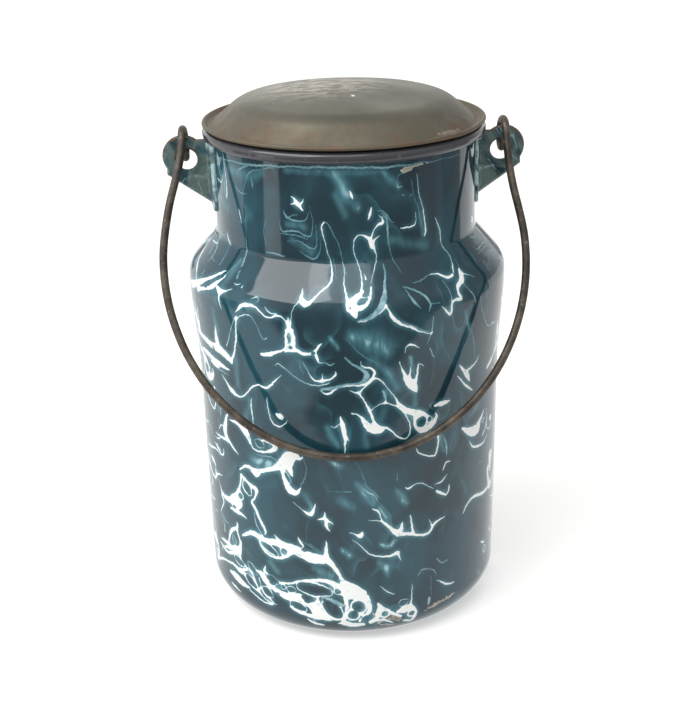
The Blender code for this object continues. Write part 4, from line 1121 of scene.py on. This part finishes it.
def ear_half_thickness(x, z, edge):
    """Half of the ear's thickness: the pressed sheet, puffed up outside and below the eye, and rounded
    off towards its edge and towards the hole."""
    from_eye = np.hypot(x - EYE_REACH, z - EYE_HEIGHT) - EYE_RADIUS + PUFF_MARGIN
    below = EYE_HEIGHT - PUFF_DROP + PUFF_TILT * (x - EYE_REACH) - z
    puff = smooth_rise((np.minimum(from_eye, below) + PUFF_LEAD) / PUFF_LENGTH)
    half = EAR_HALF + (FOLD_HALF - EAR_HALF) * puff
    hole = np.hypot(x - HOLE_REACH, z - HOLE_HEIGHT) - HOLE_RADIUS
    return half * round_off(edge / (EDGE_ROUND_SHARE * half)) * round_off(hole / HOLE_ROUND)


def make_ear_plate(name, side, material):
    """An ear round its hole: straight lines from the hole's edge to the outline, once along the front
    and once along the back. It is worn above the hole, where the bail rubs it, and at the fold's tip."""
    outline = ear_outline()
    centre = np.array([HOLE_REACH, HOLE_HEIGHT])
    spokes = outline - centre
    start = centre + HOLE_RADIUS * spokes / np.linalg.norm(spokes, axis=1, keepdims=True)
    share = (1 - np.cos(np.linspace(0, HALF, 30)))[:, None, None] / 2
    places = start + (outline - start) * share
    along = np.roll(outline, -1, 0) - outline
    away = places[:, :, None] - outline
    nearest = np.clip((away * along).sum(-1) / np.maximum((along ** 2).sum(-1), TINY), 0, 1)
    edge = np.linalg.norm(away - nearest[..., None] * along, axis=-1).min(-1)
    x, z = places[..., 0], places[..., 1]
    half = ear_half_thickness(x, z, edge)
    points = np.concatenate([np.stack([x, -half, z], -1), np.stack([x, half, z], -1)[-2:0:-1]])
    hole = np.hypot(x - HOLE_REACH, z - HOLE_HEIGHT) - HOLE_RADIUS
    rub = np.clip(1 - np.minimum(hole, edge) / RUB_REACH, 0, 1)
    rub = rub * np.clip((z - HOLE_HEIGHT + RUB_DEPTH) / RUB_FADE, 0, 1)
    tip = np.clip(1 - np.hypot(x - TIP_REACH, z - TIP_HEIGHT) / TIP_RUB_REACH, 0, 1)
    worn = np.maximum(rub, tip)
    marks = {"worn": np.concatenate([worn, worn[-2:0:-1]])}
    faces = grid_faces(*points.shape[:2], True, True)
    ear = new_piece(name + "_plate", points * (side, side, 1), faces, "pail", "enamel", material, marks)
    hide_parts(name)


def on_neck(radius, across, height):
    """Points at a length across, bent round the neck at a radius: the turn is the length over the
    radius."""
    return np.stack([radius * np.cos(across / radius), radius * np.sin(across / radius),
                     height + 0 * across], -1).reshape(-1, 3)


def make_ear_foot(name, side, material):
    """The saddle that holds an ear to the neck: it widens downwards, its corners and edges are quarter
    circles, and a hollow quarter circle rises from it to the ear's face."""
    rows, columns = 72, 65
    height = np.linspace(FOLD_FOOT - FOOT_SHIFT, EAR_TOP - FOOT_SHIFT, rows)[:, None]
    share = np.linspace(-1, 1, columns)[None]
    fall = (height[-1] - height) / (height[-1] - height[0])
    width = (FOOT_TOP_WIDTH + (FOOT_BOTTOM_WIDTH - FOOT_TOP_WIDTH) * fall) / 2
    to_end = np.minimum(height[-1] - height, height - height[0])
    width = width - FOOT_ROUND * (1 - round_off(to_end / FOOT_ROUND))
    across = share * width
    border = np.minimum((1 - np.abs(share)) * width, to_end)
    lift = (SEAT_GAP + FOOT_WALL + FOOT_SINK) * round_off(border / FOOT_EDGE)
    half = np.where(height < EYE_HEIGHT - FOLD_DROP, FOLD_HALF, EAR_HALF) - FOOT_OVERLAP
    round_radius = FOOT_HOLLOW * smooth_rise((height - FOLD_FOOT) / FOOT_HOLLOW_RISE) + FOOT_SINK
    hollow = np.clip(round_radius - (np.abs(across) - half), 0, round_radius)
    lift = lift + round_radius - np.sqrt(round_radius ** 2 - hollow ** 2)
    points = np.concatenate([on_neck(NECK_RADIUS - FOOT_SINK + lift, across, height),
                             on_neck(NECK_RADIUS - FOOT_INSIDE, across, height)])
    count = rows * columns
    faces = np.array(grid_faces(rows, columns))
    index = np.arange(count).reshape(rows, columns)
    rim = np.concatenate([index[0, :-1], index[:-1, -1], index[-1, :0:-1], index[:0:-1, 0]])
    after = np.roll(rim, -1)
    sides = np.stack([after, rim, rim + count, after + count], -1)
    faces = np.concatenate([faces, faces[:, ::-1] + count, sides]).tolist()
    # painted highlight: the pale mark gives the foot's border pale glints, fading inwards
    marks = {"pale": np.tile(np.clip(1.2 - border / FOOT_GLINT_REACH, 0, 1).ravel(), 2)}
    new_piece(name + "_foot", points * (side, side, 1), faces, "pail", "enamel", material, marks)


# Bail

def bail_line():
    """The bail's middle line, from the tail of the right hook to the tail of the left one: a hook round
    the pivot, a leg that spreads, and half an ellipse, all hung from the pivot and leant on the can."""
    share = line(1, 0, 60)
    angle = HALF - HOOK_TURN * share
    hook = np.stack([LEG_REACH - HOOK_DRIFT * share, HOOK_RADIUS * np.cos(angle),
                     HOOK_RADIUS * np.sin(angle)], -1)
    share = line(0, 1, 40)
    leg = np.stack([LEG_REACH + (ARCH_REACH - LEG_REACH) * smooth_rise(share), 0 * share - HOOK_RADIUS,
                    -ARCH_DROP * share], -1)
    angle = np.linspace(0, QUARTER, 90)
    arch = np.stack([ARCH_REACH * np.cos(angle), 0 * angle - HOOK_RADIUS,
                     -ARCH_DROP - (BAIL_DROP - ARCH_DROP) * np.sin(angle)], -1)
    half = np.concatenate([hook, leg, arch])
    path = np.concatenate([half, (half * (-1, 1, 1))[-2::-1]])
    hanging = slice(len(hook), len(path) - len(hook))
    path[hanging, 0] -= BAIL_SET * smooth_rise(-path[hanging, 2] / SET_LENGTH)
    reach = BODY_RADIUS + SEAT_GAP + BAIL_WIRE_RADIUS - BAIL_TRIM
    lean = math.asin(reach / math.hypot(HOOK_RADIUS, BAIL_DROP)) - math.atan2(HOOK_RADIUS, BAIL_DROP)
    cos, sin = math.cos(lean), math.sin(lean)
    _, y, z = path.T
    return np.stack([path[:, 0], y * cos + z * sin, z * cos - y * sin + PIVOT_HEIGHT], -1)


def make_bail(material):
    """A round wire along the bail's line. The section's first direction is a fixed one less its part
    along the wire, and its ends close in a half ball."""
    path = bail_line()
    sides = 24
    along = np.gradient(path, axis=0)
    along /= np.linalg.norm(along, axis=1, keepdims=True)
    fixed = np.array([0.707, 0.707, 0.05])
    first = fixed - (along @ fixed)[:, None] * along
    first /= np.linalg.norm(first, axis=1, keepdims=True)
    second = np.cross(along, first)
    run = np.append(0, np.cumsum(np.linalg.norm(np.diff(path, axis=0), axis=1)))
    from_end = np.minimum(run, run[-1] - run)
    around = line(0, FULL, sides)
    radius = (BAIL_WIRE_RADIUS - BAIL_TRIM) * round_off((from_end + WIRE_END_START) / WIRE_END_ROUND)
    worn = np.sin(run[:, None] / WIRE_WAVE + 2 * np.sin(run[:, None] / WIRE_WAVE_BEND) + around)
    radius = radius[:, None] * (1 - WIRE_WEAR_SHARE * (1 + worn))
    ring = np.cos(around)[None, :, None] * first[:, None] + np.sin(around)[None, :, None] * second[:, None]
    points = path[:, None] + ring * radius[..., None]
    points = np.concatenate([points.reshape(-1, 3), path[[0, -1]]])
    bail = new_piece("bail_wire", points, tube_faces(len(path), sides), "bail", "iron", material)
    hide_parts("bail")


# Lid

def lid_outline():
    """The lid's upper face (r, z): a low crown, a rounded edge, a dished flange and a curled hem. The
    second result is where the dome's slope meets the flange."""
    turn = math.asin((DOME_REACH - DOME_ROUND * math.sin(DOME_SLOPE)) / (CROWN_RADIUS - DOME_ROUND))
    crown = arc((0, CROWN_HEIGHT - CROWN_RADIUS), CROWN_RADIUS, QUARTER, QUARTER - turn, 0.5)
    centre = crown[-1] - DOME_ROUND * np.array([math.sin(turn), math.cos(turn)])
    edge = arc(centre, DOME_ROUND, QUARTER - turn, QUARTER - DOME_SLOPE, 2)
    foot = edge[-1] + (edge[-1, 1] - FLANGE_TOP) * np.array([1 / math.tan(DOME_SLOPE), -1])
    hem = arc((FLANGE_RADIUS - HEM_RADIUS, FLANGE_TOP + HEM_RISE - HEM_RADIUS), HEM_RADIUS,
              QUARTER + HEM_SLOPE, -QUARTER, 12)
    hem_foot = (hem[0, 0] - (hem[0, 1] - FLANGE_TOP) / math.tan(HEM_SLOPE), FLANGE_TOP)
    trough = rounded(edge[-1], foot, hem_foot, TROUGH_ROUND)
    rise = rounded(foot, hem_foot, hem[0], TROUGH_ROUND)
    return np.concatenate([crown, edge[1:], line(edge[-1], trough[0], 5)[1:], trough, rise[1:], hem]), foot


def make_lid(outline, material):
    """The lid's sheet, turned from its outline, with shallow dents: bell curves of the distance."""
    under = inset(outline, -LID_SHEET)[::-1]
    under[-1, 0] = 0
    points, faces = turned(np.concatenate([outline, under]), line(0, FULL, 240))
    for x, y, spread, sink in DENTS:
        away = np.hypot(points[:, 0] - x, points[:, 1] - y)
        points[:, 2] -= sink * MM * np.exp(-(away / spread) ** 2)
    lid = new_piece("lid_cover", points, faces, "lid", "tin", material)
    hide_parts("lid_top")


def make_collar(foot, material):
    """The collar as a closed ring: a lip under the dome, a rounded corner and the plug down the neck,
    with the ridge of its soldered seam at one place round it."""
    rise = math.tan(DOME_SLOPE)
    corner = FLANGE_TOP + (foot[0] - COLLAR_RADIUS) * rise - (LID_SHEET + SEAT_GAP) / math.cos(DOME_SLOPE)
    bottom = FLANGE_TOP - LID_SHEET - COLLAR_DEPTH
    lip = (COLLAR_RADIUS - COLLAR_LIP, corner + COLLAR_LIP * rise)
    end = (COLLAR_RADIUS - COLLAR_LEAD, bottom)
    bend = rounded(lip, (COLLAR_RADIUS, corner), (COLLAR_RADIUS, bottom), COLLAR_ROUND)
    lead = rounded((COLLAR_RADIUS, corner), (COLLAR_RADIUS, bottom + COLLAR_LEAD_LENGTH), end,
                   COLLAR_LEAD_ROUND)
    outer = np.concatenate([line(lip, bend[0], 4), bend, line(bend[-1], lead[0], 12)[1:], lead,
                            line(lead[-1], end, 3)[1:]])
    profile = np.concatenate([outer, inset(outer, -COLLAR_WALL)[::-1]])
    points = swept(profile, line(0, FULL, 216))
    turn = np.arctan2(points[..., 1], points[..., 0])
    ridge = 1 + SEAM_RISE / COLLAR_RADIUS * np.exp(-((turn - SEAM_TURN) * COLLAR_RADIUS / SEAM_REACH) ** 2)
    points[..., :2] *= ridge[..., None]
    faces = grid_faces(*points.shape[:2], True, True)
    collar = new_piece("lid_plug", points, faces, "lid", "tin", material)
    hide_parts("lid_collar")


# Finishes

def rgb(code):
    """A colour written as six hexadecimal digits, in linear light."""
    parts = [int(code[i:i + 2], 16) / 255 for i in (0, 2, 4)]
    return tuple(((p + 0.055) / 1.055) ** 2.4 if p > 0.04045 else p / 12.92 for p in parts) + (1.0,)


class Nodes:
    """The nodes of a material or of the world, made one by one. A value may be a number, another
    node's output or a colour's six digits."""

    def __init__(self, tree, place="Object"):
        self.tree = tree
        self.place = self.node("ShaderNodeTexCoord").outputs[place]

    def node(self, kind, inputs=(), **settings):
        """A new node, with values or outputs fed to its sockets."""
        node = self.tree.nodes.new(kind)
        for setting, value in settings.items():
            setattr(node, setting, value)
        for socket, value in dict(inputs).items():
            self.feed(node.inputs[socket], value)
        return node

    def feed(self, socket, value):
        if isinstance(value, bpy.types.NodeSocket):
            self.tree.links.new(value, socket)
        else:
            socket.default_value = rgb(value) if isinstance(value, str) else value

    def maths(self, operation, *values):
        """A sum of one or two values."""
        return self.node("ShaderNodeMath", dict(enumerate(values)), operation=operation).outputs[0]

    def vectors(self, operation, inputs):
        """A sum of places."""
        return self.node("ShaderNodeVectorMath", inputs, operation=operation).outputs[0]

    def plus(self, one, two):
        return self.maths("ADD", one, two)

    def times(self, one, two):
        return self.maths("MULTIPLY", one, two)

    def greater(self, one, two):
        return self.maths("MAXIMUM", one, two)

    def step(self, value, start, end, low=0.0, high=1.0):
        """Rises smoothly from low to high while the value goes from start to end."""
        inputs = {"Value": value, "From Min": start, "From Max": end, "To Min": low, "To Max": high}
        return self.node("ShaderNodeMapRange", inputs, interpolation_type="SMOOTHSTEP").outputs["Result"]

    def noise(self, size, detail=3, roughness=0.5, place=None, output="Fac"):
        """Cloudy noise whose clouds are about size metres across."""
        inputs = {"Vector": place or self.place, "Scale": 1 / size, "Detail": detail,
                  "Roughness": roughness}
        return self.node("ShaderNodeTexNoise", inputs).outputs[output]

    def patches(self, size, start, end, detail=3, roughness=0.5, place=None, low=0.0, high=1.0):
        """Rises from low to high while such noise goes from start to end."""
        return self.step(self.noise(size, detail, roughness, place), start, end, low, high)

    def ridge(self, noise, width):
        """A soft line where the noise passes its middle value."""
        return self.step(self.maths("ABSOLUTE", self.maths("SUBTRACT", noise, 0.5)), 0.0, width, 1.0, 0.0)

    def mixed(self, share, one, two):
        """Two colours mixed by a share: at 0 it is the first one, at 1 the second."""
        node = self.node("ShaderNodeMix", data_type="RGBA")
        self.feed(node.inputs["Factor"], share)
        self.feed(node.inputs[6], one)
        self.feed(node.inputs[7], two)
        return node.outputs[2]

    def mark(self, name):
        """The number that a piece's points carry under this name, or nought."""
        return self.node("ShaderNodeAttribute", attribute_name=name).outputs["Fac"]

    def stretched(self, scale, place=None):
        """A place times a scale each way, so that noise is drawn out where the scale is small."""
        return self.node("ShaderNodeMapping", {"Vector": place or self.place, "Scale": scale}).outputs[0]

    def split(self):
        """The place's three coordinates."""
        return self.node("ShaderNodeSeparateXYZ", {0: self.place}).outputs

    def away(self, x=0.0, y=0.0):
        """How far a place is from the upright line at x and y."""
        here = self.split()
        across = self.maths("POWER", self.maths("SUBTRACT", here[0], x), 2.0)
        along = self.maths("POWER", self.maths("SUBTRACT", here[1], y), 2.0)
        return self.maths("SQRT", self.plus(across, along))

    def bent(self, place, size, reach):
        """A place moved about by noise, by up to half of reach in each direction."""
        noise = self.noise(size, 2, place=place, output="Color")
        centred = self.vectors("SUBTRACT", {0: noise, 1: (0.5, 0.5, 0.5)})
        return self.vectors("ADD", {0: place, 1: self.vectors("SCALE", {0: centred, "Scale": reach})})

    def bump(self, height, strength, distance, normal=None):
        """A surface that rises with the height by up to the distance, on top of another one."""
        inputs = {"Height": height, "Strength": strength, "Distance": distance}
        if normal:
            inputs["Normal"] = normal
        return self.node("ShaderNodeBump", inputs).outputs[0]


class Finish(Nodes):
    """A material and its nodes."""

    def __init__(self, name, roughness=0.5, metallic=0.0):
        self.material = bpy.data.materials.new(name)
        self.material.use_nodes = True
        super().__init__(self.material.node_tree)
        self.shader = self.tree.nodes["Principled BSDF"]
        self.dress({"Roughness": roughness, "Metallic": metallic})

    def dress(self, inputs):
        """Feeds the shader's sockets, and gives the material."""
        for socket, value in inputs.items():
            self.feed(self.shader.inputs[socket], value)
        return self.material


def enamel(name, gloss):
    """A finish of fired enamel, and its surface: faint waves with orange peel on them."""
    paint = Finish(name, gloss)
    paint.dress({"IOR": ENAMEL_IOR})
    waves = paint.bump(paint.noise(0.011, 1), 0.25, 0.0004)
    return paint, paint.bump(paint.noise(0.0016, 1), 0.12, 0.00005, waves)


def swirl_colour(paint):
    """Dark teal, clouded, with faint veils: the noise is cut into layers, and each layer is lightest
    along its lower edge and fades away from it, as thin glaze does where it has run. The second result
    is the place that the clouds are drawn with."""
    tall = paint.stretched((1.0, 1.0, 0.60))
    flow = paint.bent(paint.bent(tall, 0.034, 0.034), 0.012, 0.009)
    colour = paint.mixed(paint.patches(0.030, 0.36, 0.66, 3, 0.55, flow), DEEP_TEAL, TEAL)
    layers = paint.maths("FRACT", paint.times(paint.noise(0.040, 2, 0.5, flow), 9.0))
    fade = paint.maths("POWER", layers, 4.0)
    front = paint.step(layers, 0.95, 1.0, 1.0, 0.0)
    where = paint.patches(0.020, 0.46, 0.68, 2, high=0.55)
    return paint.mixed(paint.times(paint.times(fade, front), where), colour, VEIL_TEAL), flow


def make_can_finish():
    """The can: dark teal that is milky round the white, a navy bead, iron in the chips and a pale
    lining."""
    paint, surface = enamel("swirl_enamel", ENAMEL_GLOSS)
    colour, flow = swirl_colour(paint)
    tall = paint.stretched((1.0, 1.0, 0.45), flow)
    glow = paint.times(paint.mark("glow"), paint.patches(0.0045, 0.30, 0.72, 2, 0.55, tall, 0.45, 1.15))
    milky = paint.mixed(paint.step(glow, 0.55, 1.05), GLOW_TEAL, MILKY_TEAL)
    colour = paint.mixed(paint.maths("MINIMUM", glow, 0.9), colour, milky)
    navy = paint.mixed(paint.patches(0.004, 0.62, 0.66, 4, 0.7), NAVY, WORN_NAVY)
    colour = paint.mixed(paint.mark("trim"), colour, navy)
    ragged = paint.plus(paint.mark("bare"), paint.patches(0.0016, 0.3, 0.7, 3, 0.6, low=-0.25, high=0.25))
    bare = paint.step(ragged, 0.42, 0.58)
    iron = paint.mixed(paint.patches(0.0016, 0.40, 0.62), CHIP_GREY, CHIP_PALE)
    iron = paint.mixed(paint.step(ragged, 0.62, 0.80), CHIP_BORDER, iron)
    colour = paint.mixed(bare, colour, iron)
    lining = paint.mixed(paint.patches(0.003, 0.66, 0.70, 3, 0.6), LINING_WHITE, LINING_SPECK)
    colour = paint.mixed(paint.mark("lining"), colour, lining)
    roughness = paint.plus(ENAMEL_GLOSS, paint.times(bare, BARE_ROUGHENS))
    normal = paint.bump(bare, 0.6, -0.0001, surface)
    return paint.dress({"Base Color": colour, "Roughness": roughness, "Normal": normal})


def make_white_finish():
    """The raised white: bluish where it is thin and white where it is thick, and dull teal where it is
    only a vein."""
    paint, surface = enamel("white_enamel", ENAMEL_GLOSS)
    depth = paint.mark("depth")
    fine = paint.noise(0.0025)
    thin = paint.mixed(paint.patches(0.005, 0.35, 0.75), THIN_WHITE, THIN_PALE)
    thin = paint.mixed(paint.step(depth, 0.0, 0.12), THIN_BORDER, thin)
    thick = paint.mixed(paint.step(fine, 0.60, 0.68), THICK_WHITE, THICK_SHADE)
    white = paint.mixed(paint.step(depth, 0.04, 0.24), thin, thick)
    vein = paint.mixed(paint.step(depth, 0.0, 0.5), VEIN_BORDER, VEIN_PALE)
    vein = paint.mixed(paint.step(fine, 0.3, 0.7, 0.0, 0.8), vein, VEIN_DULL)
    return paint.dress({"Base Color": paint.mixed(paint.mark("white"), vein, white), "Normal": surface})


def make_ear_finish():
    """The enamel of the ears: worn greenish grey, with pale glints painted along the feet's borders as
    highlights, and rusty where the bail rubs.
    """
    paint, surface = enamel("worn_enamel", EAR_GLOSS)
    colour, flow = swirl_colour(paint)
    dull = paint.patches(0.010, 0.36, 0.62, 3, 0.6, flow)
    colour = paint.mixed(paint.times(dull, 0.85), colour, EAR_GREY)
    thread = paint.ridge(paint.noise(0.009, 2, 0.45, flow), 0.03)
    thread = paint.times(thread, paint.patches(0.006, 0.48, 0.60, 1))
    colour = paint.mixed(paint.times(thread, 0.6), colour, EAR_THREAD)
    # painted highlight: pale glints on the feet's borders, where their pale mark is
    painted_glints = paint.patches(0.0035, 0.42, 0.60, 3, 0.6, paint.stretched((1.0, 1.0, 0.5)))
    colour = paint.mixed(paint.times(paint.mark("pale"), painted_glints), colour, EAR_PAINTED_GLINT)
    worn = paint.plus(paint.mark("worn"), paint.patches(0.0025, 0.3, 0.7, 4, 0.6, low=-0.35, high=0.35))
    colour = paint.mixed(paint.times(paint.step(worn, 0.15, 0.75), 0.55), colour, EAR_STAIN)
    bare = paint.step(worn, 0.66, 0.76)
    colour = paint.mixed(bare, colour, paint.mixed(paint.noise(0.0015, 4), EAR_DARK_RUST, EAR_RUST))
    roughness = paint.plus(EAR_GLOSS, paint.times(bare, BARE_ROUGHENS))
    normal = paint.bump(bare, 0.4, -0.0001, surface)
    return paint.dress({"Base Color": colour, "Roughness": roughness, "Normal": normal})


def flange_patch(paint, fine):
    """The rusty patch on the lid's flange: an ellipse in turn and radius with a ragged edge."""
    here = paint.split()
    turn = paint.maths("SUBTRACT", paint.maths("ARCTAN2", here[1], here[0]), PATCH_TURN)
    around = paint.maths("DIVIDE", turn, PATCH_HALF_TURN)
    outward = paint.maths("DIVIDE", paint.maths("SUBTRACT", paint.away(), PATCH_RADIUS), PATCH_HALF_WIDTH)
    patch = paint.plus(paint.maths("POWER", around, 2.0), paint.maths("POWER", outward, 2.0))
    return paint.step(paint.plus(patch, paint.step(fine, 0.3, 0.7, -0.5, 0.5)), 0.8, 1.3, 1.0, 0.0)


def make_tin_finish():
    """Dull tin: smooth grey-brown, browner towards the edge, scuffed on the crown, with one rusty patch
    at the dent and a painted highlight: a small white dot on the crown."""
    paint = Finish("tarnished_tin")
    broad = paint.noise(0.030)
    fine = paint.noise(0.0022, 4, 0.65)
    colour = paint.mixed(paint.step(broad, 0.3, 0.72), TIN_DARK, TIN_PALE)
    ragged = paint.patches(0.007, 0.2, 0.8, 4, 0.6, low=-EDGE_RAG, high=EDGE_RAG)
    edge = paint.step(paint.plus(paint.away(), ragged), *EDGE_REACH)
    rusty = paint.mixed(paint.patches(0.011, 0.42, 0.62, 4, 0.65), TIN_BROWN, TIN_RUST)
    colour = paint.mixed(paint.times(edge, 0.65), colour, rusty)
    scuff = paint.patches(0.0040, 0.40, 0.64, 4, 0.7, paint.stretched((0.6, 1.4, 1.0)))
    scuff = paint.times(scuff, paint.step(paint.away(*SCUFF_PLACE), *SCUFF_REACH, 1.0, 0.0))
    colour = paint.mixed(paint.times(scuff, 0.85), colour, TIN_SCUFF)
    colour = paint.mixed(paint.times(paint.step(fine, 0.64, 0.72), 0.35), colour, TIN_SPOT)
    patch = flange_patch(paint, fine)
    streaks = paint.patches(0.0035, 0.40, 0.62, 3, 0.6, paint.stretched((0.5, 0.5, 2.0)))
    colour = paint.mixed(paint.times(patch, 0.75), colour, paint.mixed(streaks, PATCH_BROWN, PATCH_PALE))
    # painted highlight: a small dull white dot on the crown
    painted_glint = paint.step(paint.away(*PAINTED_GLINT_PLACE), *PAINTED_GLINT_REACH, 1.0, 0.0)
    colour = paint.mixed(painted_glint, colour, PAINTED_GLINT_WHITE)
    scratch = paint.ridge(paint.noise(0.020, 1, 0.4, paint.stretched((6.0, 0.7, 1.0))), 0.008)
    scratch = paint.times(scratch, paint.patches(0.013, 0.58, 0.64, 1))
    colour = paint.mixed(paint.times(scratch, 0.25), colour, TIN_SCRATCH)
    dull = paint.greater(paint.greater(painted_glint, paint.times(patch, 0.7)), paint.times(edge, 0.3))
    metallic = paint.maths("SUBTRACT", 0.85, paint.times(dull, 0.8))
    roughness = paint.plus(paint.step(broad, 0.3, 0.7, 0.50, 0.42), paint.times(edge, 0.10))
    normal = paint.bump(paint.noise(0.004, 4, 0.6), 0.22, 0.00025)
    normal = paint.bump(patch, 0.4, -0.0002, normal)
    return paint.dress({"Base Color": colour, "Roughness": roughness, "Metallic": metallic,
                        "Normal": normal})


def make_iron_finish():
    """The bail's wire: dark iron, rusty in places and rubbed bare in specks."""
    paint = Finish("rusty_iron", metallic=0.35)
    colour = paint.mixed(paint.patches(0.007, 0.35, 0.7, 4, 0.6), IRON_DARK, IRON_PALE)
    rust = paint.patches(0.004, 0.54, 0.68, 5, 0.65)
    colour = paint.mixed(paint.times(rust, 0.55), colour, IRON_RUST)
    bare = paint.patches(0.0018, 0.62, 0.70, 3, 0.6)
    colour = paint.mixed(paint.times(bare, 0.45), colour, IRON_BARE)
    roughness = paint.step(rust, 0, 1, 0.46, 0.75)
    normal = paint.bump(paint.noise(0.0012, 4, 0.6), 0.5, 0.0002)
    return paint.dress({"Base Color": colour, "Roughness": roughness, "Normal": normal})


# Studio

def make_floor():
    """A white floor: it takes the lamps' light and shadow, seen directly it is lifted to white, and the
    enamel mirrors a card on it, the table past the card and bright bands beyond."""
    paint = Finish("white_floor", 0.9)
    path = paint.node("ShaderNodeLightPath").outputs
    across, ahead, _ = paint.split()
    card = paint.step(ahead, CARD_FRONT - CARD_FADE, CARD_FRONT + CARD_FADE)
    card = paint.times(card, paint.step(paint.maths("ABSOLUTE", across), *CARD_SIDES, CARD_LIGHT, 0.0))
    mirrored = paint.greater(card, TABLE_LIGHT)
    angle = paint.maths("ARCTAN2", across, paint.times(ahead, -1.0))
    beyond = paint.step(paint.away(), *BAND_START)
    for start, end, light in BRIGHT_BANDS:
        rise = paint.step(angle, math.radians(start - BAND_FADE), math.radians(start + BAND_FADE))
        fall = paint.step(angle, math.radians(end - BAND_FADE), math.radians(end + BAND_FADE), 1.0, 0.0)
        band = paint.times(paint.times(paint.times(rise, fall), beyond), light)
        mirrored = paint.greater(mirrored, band)
    lift = paint.times(path["Is Camera Ray"], FLOOR_LIFT)
    lift = paint.plus(lift, paint.times(path["Is Glossy Ray"], mirrored))
    colour = paint.mixed(path["Is Glossy Ray"], FLOOR_COLOUR, BLACK)
    paint.dress({"Base Color": colour, "Specular IOR Level": 0.1, "Emission Color": WHITE,
                 "Emission Strength": lift})
    corners = [(-FLOOR_REACH, -FLOOR_REACH, 0), (FLOOR_REACH, -FLOOR_REACH, 0),
               (FLOOR_REACH, FLOOR_REACH, 0), (-FLOOR_REACH, FLOOR_REACH, 0)]
    mesh = bpy.data.meshes.new("floor")
    mesh.from_pydata(corners, [], [(0, 1, 2, 3)])
    mesh.materials.append(paint.material)
    floor = bpy.data.objects.new("floor", mesh)
    bpy.context.scene.collection.objects.link(floor)


def make_lamp(name, place, width, height, power):
    """A soft box that faces the pail."""
    light = bpy.data.lights.new(name, "AREA")
    light.shape = "RECTANGLE"
    light.size = width
    light.size_y = height
    light.energy = power
    lamp = bpy.data.objects.new(name, light)
    bpy.context.scene.collection.objects.link(lamp)
    away = np.array(LAMP_TARGET, float) - np.array(place, float)
    away /= np.linalg.norm(away)
    lamp.location = place
    lamp.rotation_euler = (math.acos(-away[2]), 0, math.atan2(away[1], away[0]) - QUARTER)


def make_studio():
    """The room: its light rises with height, more so in front, with more from behind and from the left.
    The camera sees it white."""
    scene = bpy.context.scene
    scene.view_settings.view_transform = "Standard"
    scene.world = bpy.data.worlds.new("studio")
    scene.world.use_nodes = True
    paint = Nodes(scene.world.node_tree, "Generated")
    across, ahead, rise = paint.split()
    high = paint.step(ahead, -0.35, 0.25, FRONT_LIGHT, BACK_LIGHT)
    room = paint.step(rise, 0.05, 0.75, LOW_LIGHT, high)
    wall = paint.times(paint.step(ahead, 0.45, 0.95), WALL_LIGHT)
    left = paint.times(paint.step(across, -0.5, -0.95), WALL_LIGHT)
    light = paint.plus(room, paint.plus(wall, left))
    seen = paint.node("ShaderNodeLightPath").outputs["Is Camera Ray"]
    background = paint.tree.nodes["Background"]
    paint.feed(background.inputs["Strength"], paint.greater(light, paint.times(seen, BACKDROP)))
    paint.feed(background.inputs["Color"], WHITE)
    make_floor()
    for name, box in LAMPS.items():
        make_lamp(name, *box)


def make_camera():
    """The photograph's camera: its axes as the columns of a turn, its lens from its focal length in
    pixels."""
    right, up, forward = camera_axes()
    data = bpy.data.cameras.new("camera")
    data.sensor_fit = "HORIZONTAL"
    data.sensor_width = SENSOR_WIDTH
    data.lens = FOCAL_PIXELS / PHOTO_WIDTH * SENSOR_WIDTH
    data.clip_start = CAMERA_CLIP
    camera = bpy.data.objects.new("camera", data)
    bpy.context.scene.collection.objects.link(camera)
    turn = np.eye(4)
    turn[:3, :3] = np.stack([right, up, -forward], -1)
    turn[:3, 3] = CAMERA_PLACE
    camera.matrix_world = Matrix(turn.tolist())
    bpy.context.scene.camera = camera


def make_pail():
    """The can with its white, and the ears."""
    face = CanFace(can_outline())
    drawings = {name: Drawing(face, *values) for name, values in DRAWINGS.items()}
    white = make_white_finish()
    for name, drawing in drawings.items():
        middle = int(np.searchsorted(drawing.rows, SHEET_PARTING))
        make_white(name + "_low", drawing, (0, middle), white)
        make_white(name + "_high", drawing, (middle, len(drawing.rows)), white)
    make_can(face, drawings.values(), make_can_finish())
    enamelled = make_ear_finish()
    for side, name in ((1, "right_ear"), (-1, "left_ear")):
        make_ear_plate(name, side, enamelled)
        make_ear_foot(name, side, enamelled)


def main():
    """The camera and the room, and then the pieces of the pail, the bail and the lid. The wire in the
    can's rim stays as packed, in iron."""
    make_camera()
    make_studio()
    make_pail()
    iron = make_iron_finish()
    make_bail(iron)
    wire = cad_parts["rim_wire"].data
    wire.materials.clear()
    wire.materials.append(iron)
    tin = make_tin_finish()
    outline, dome_foot = lid_outline()
    make_lid(outline, tin)
    make_collar(dome_foot, tin)


main()
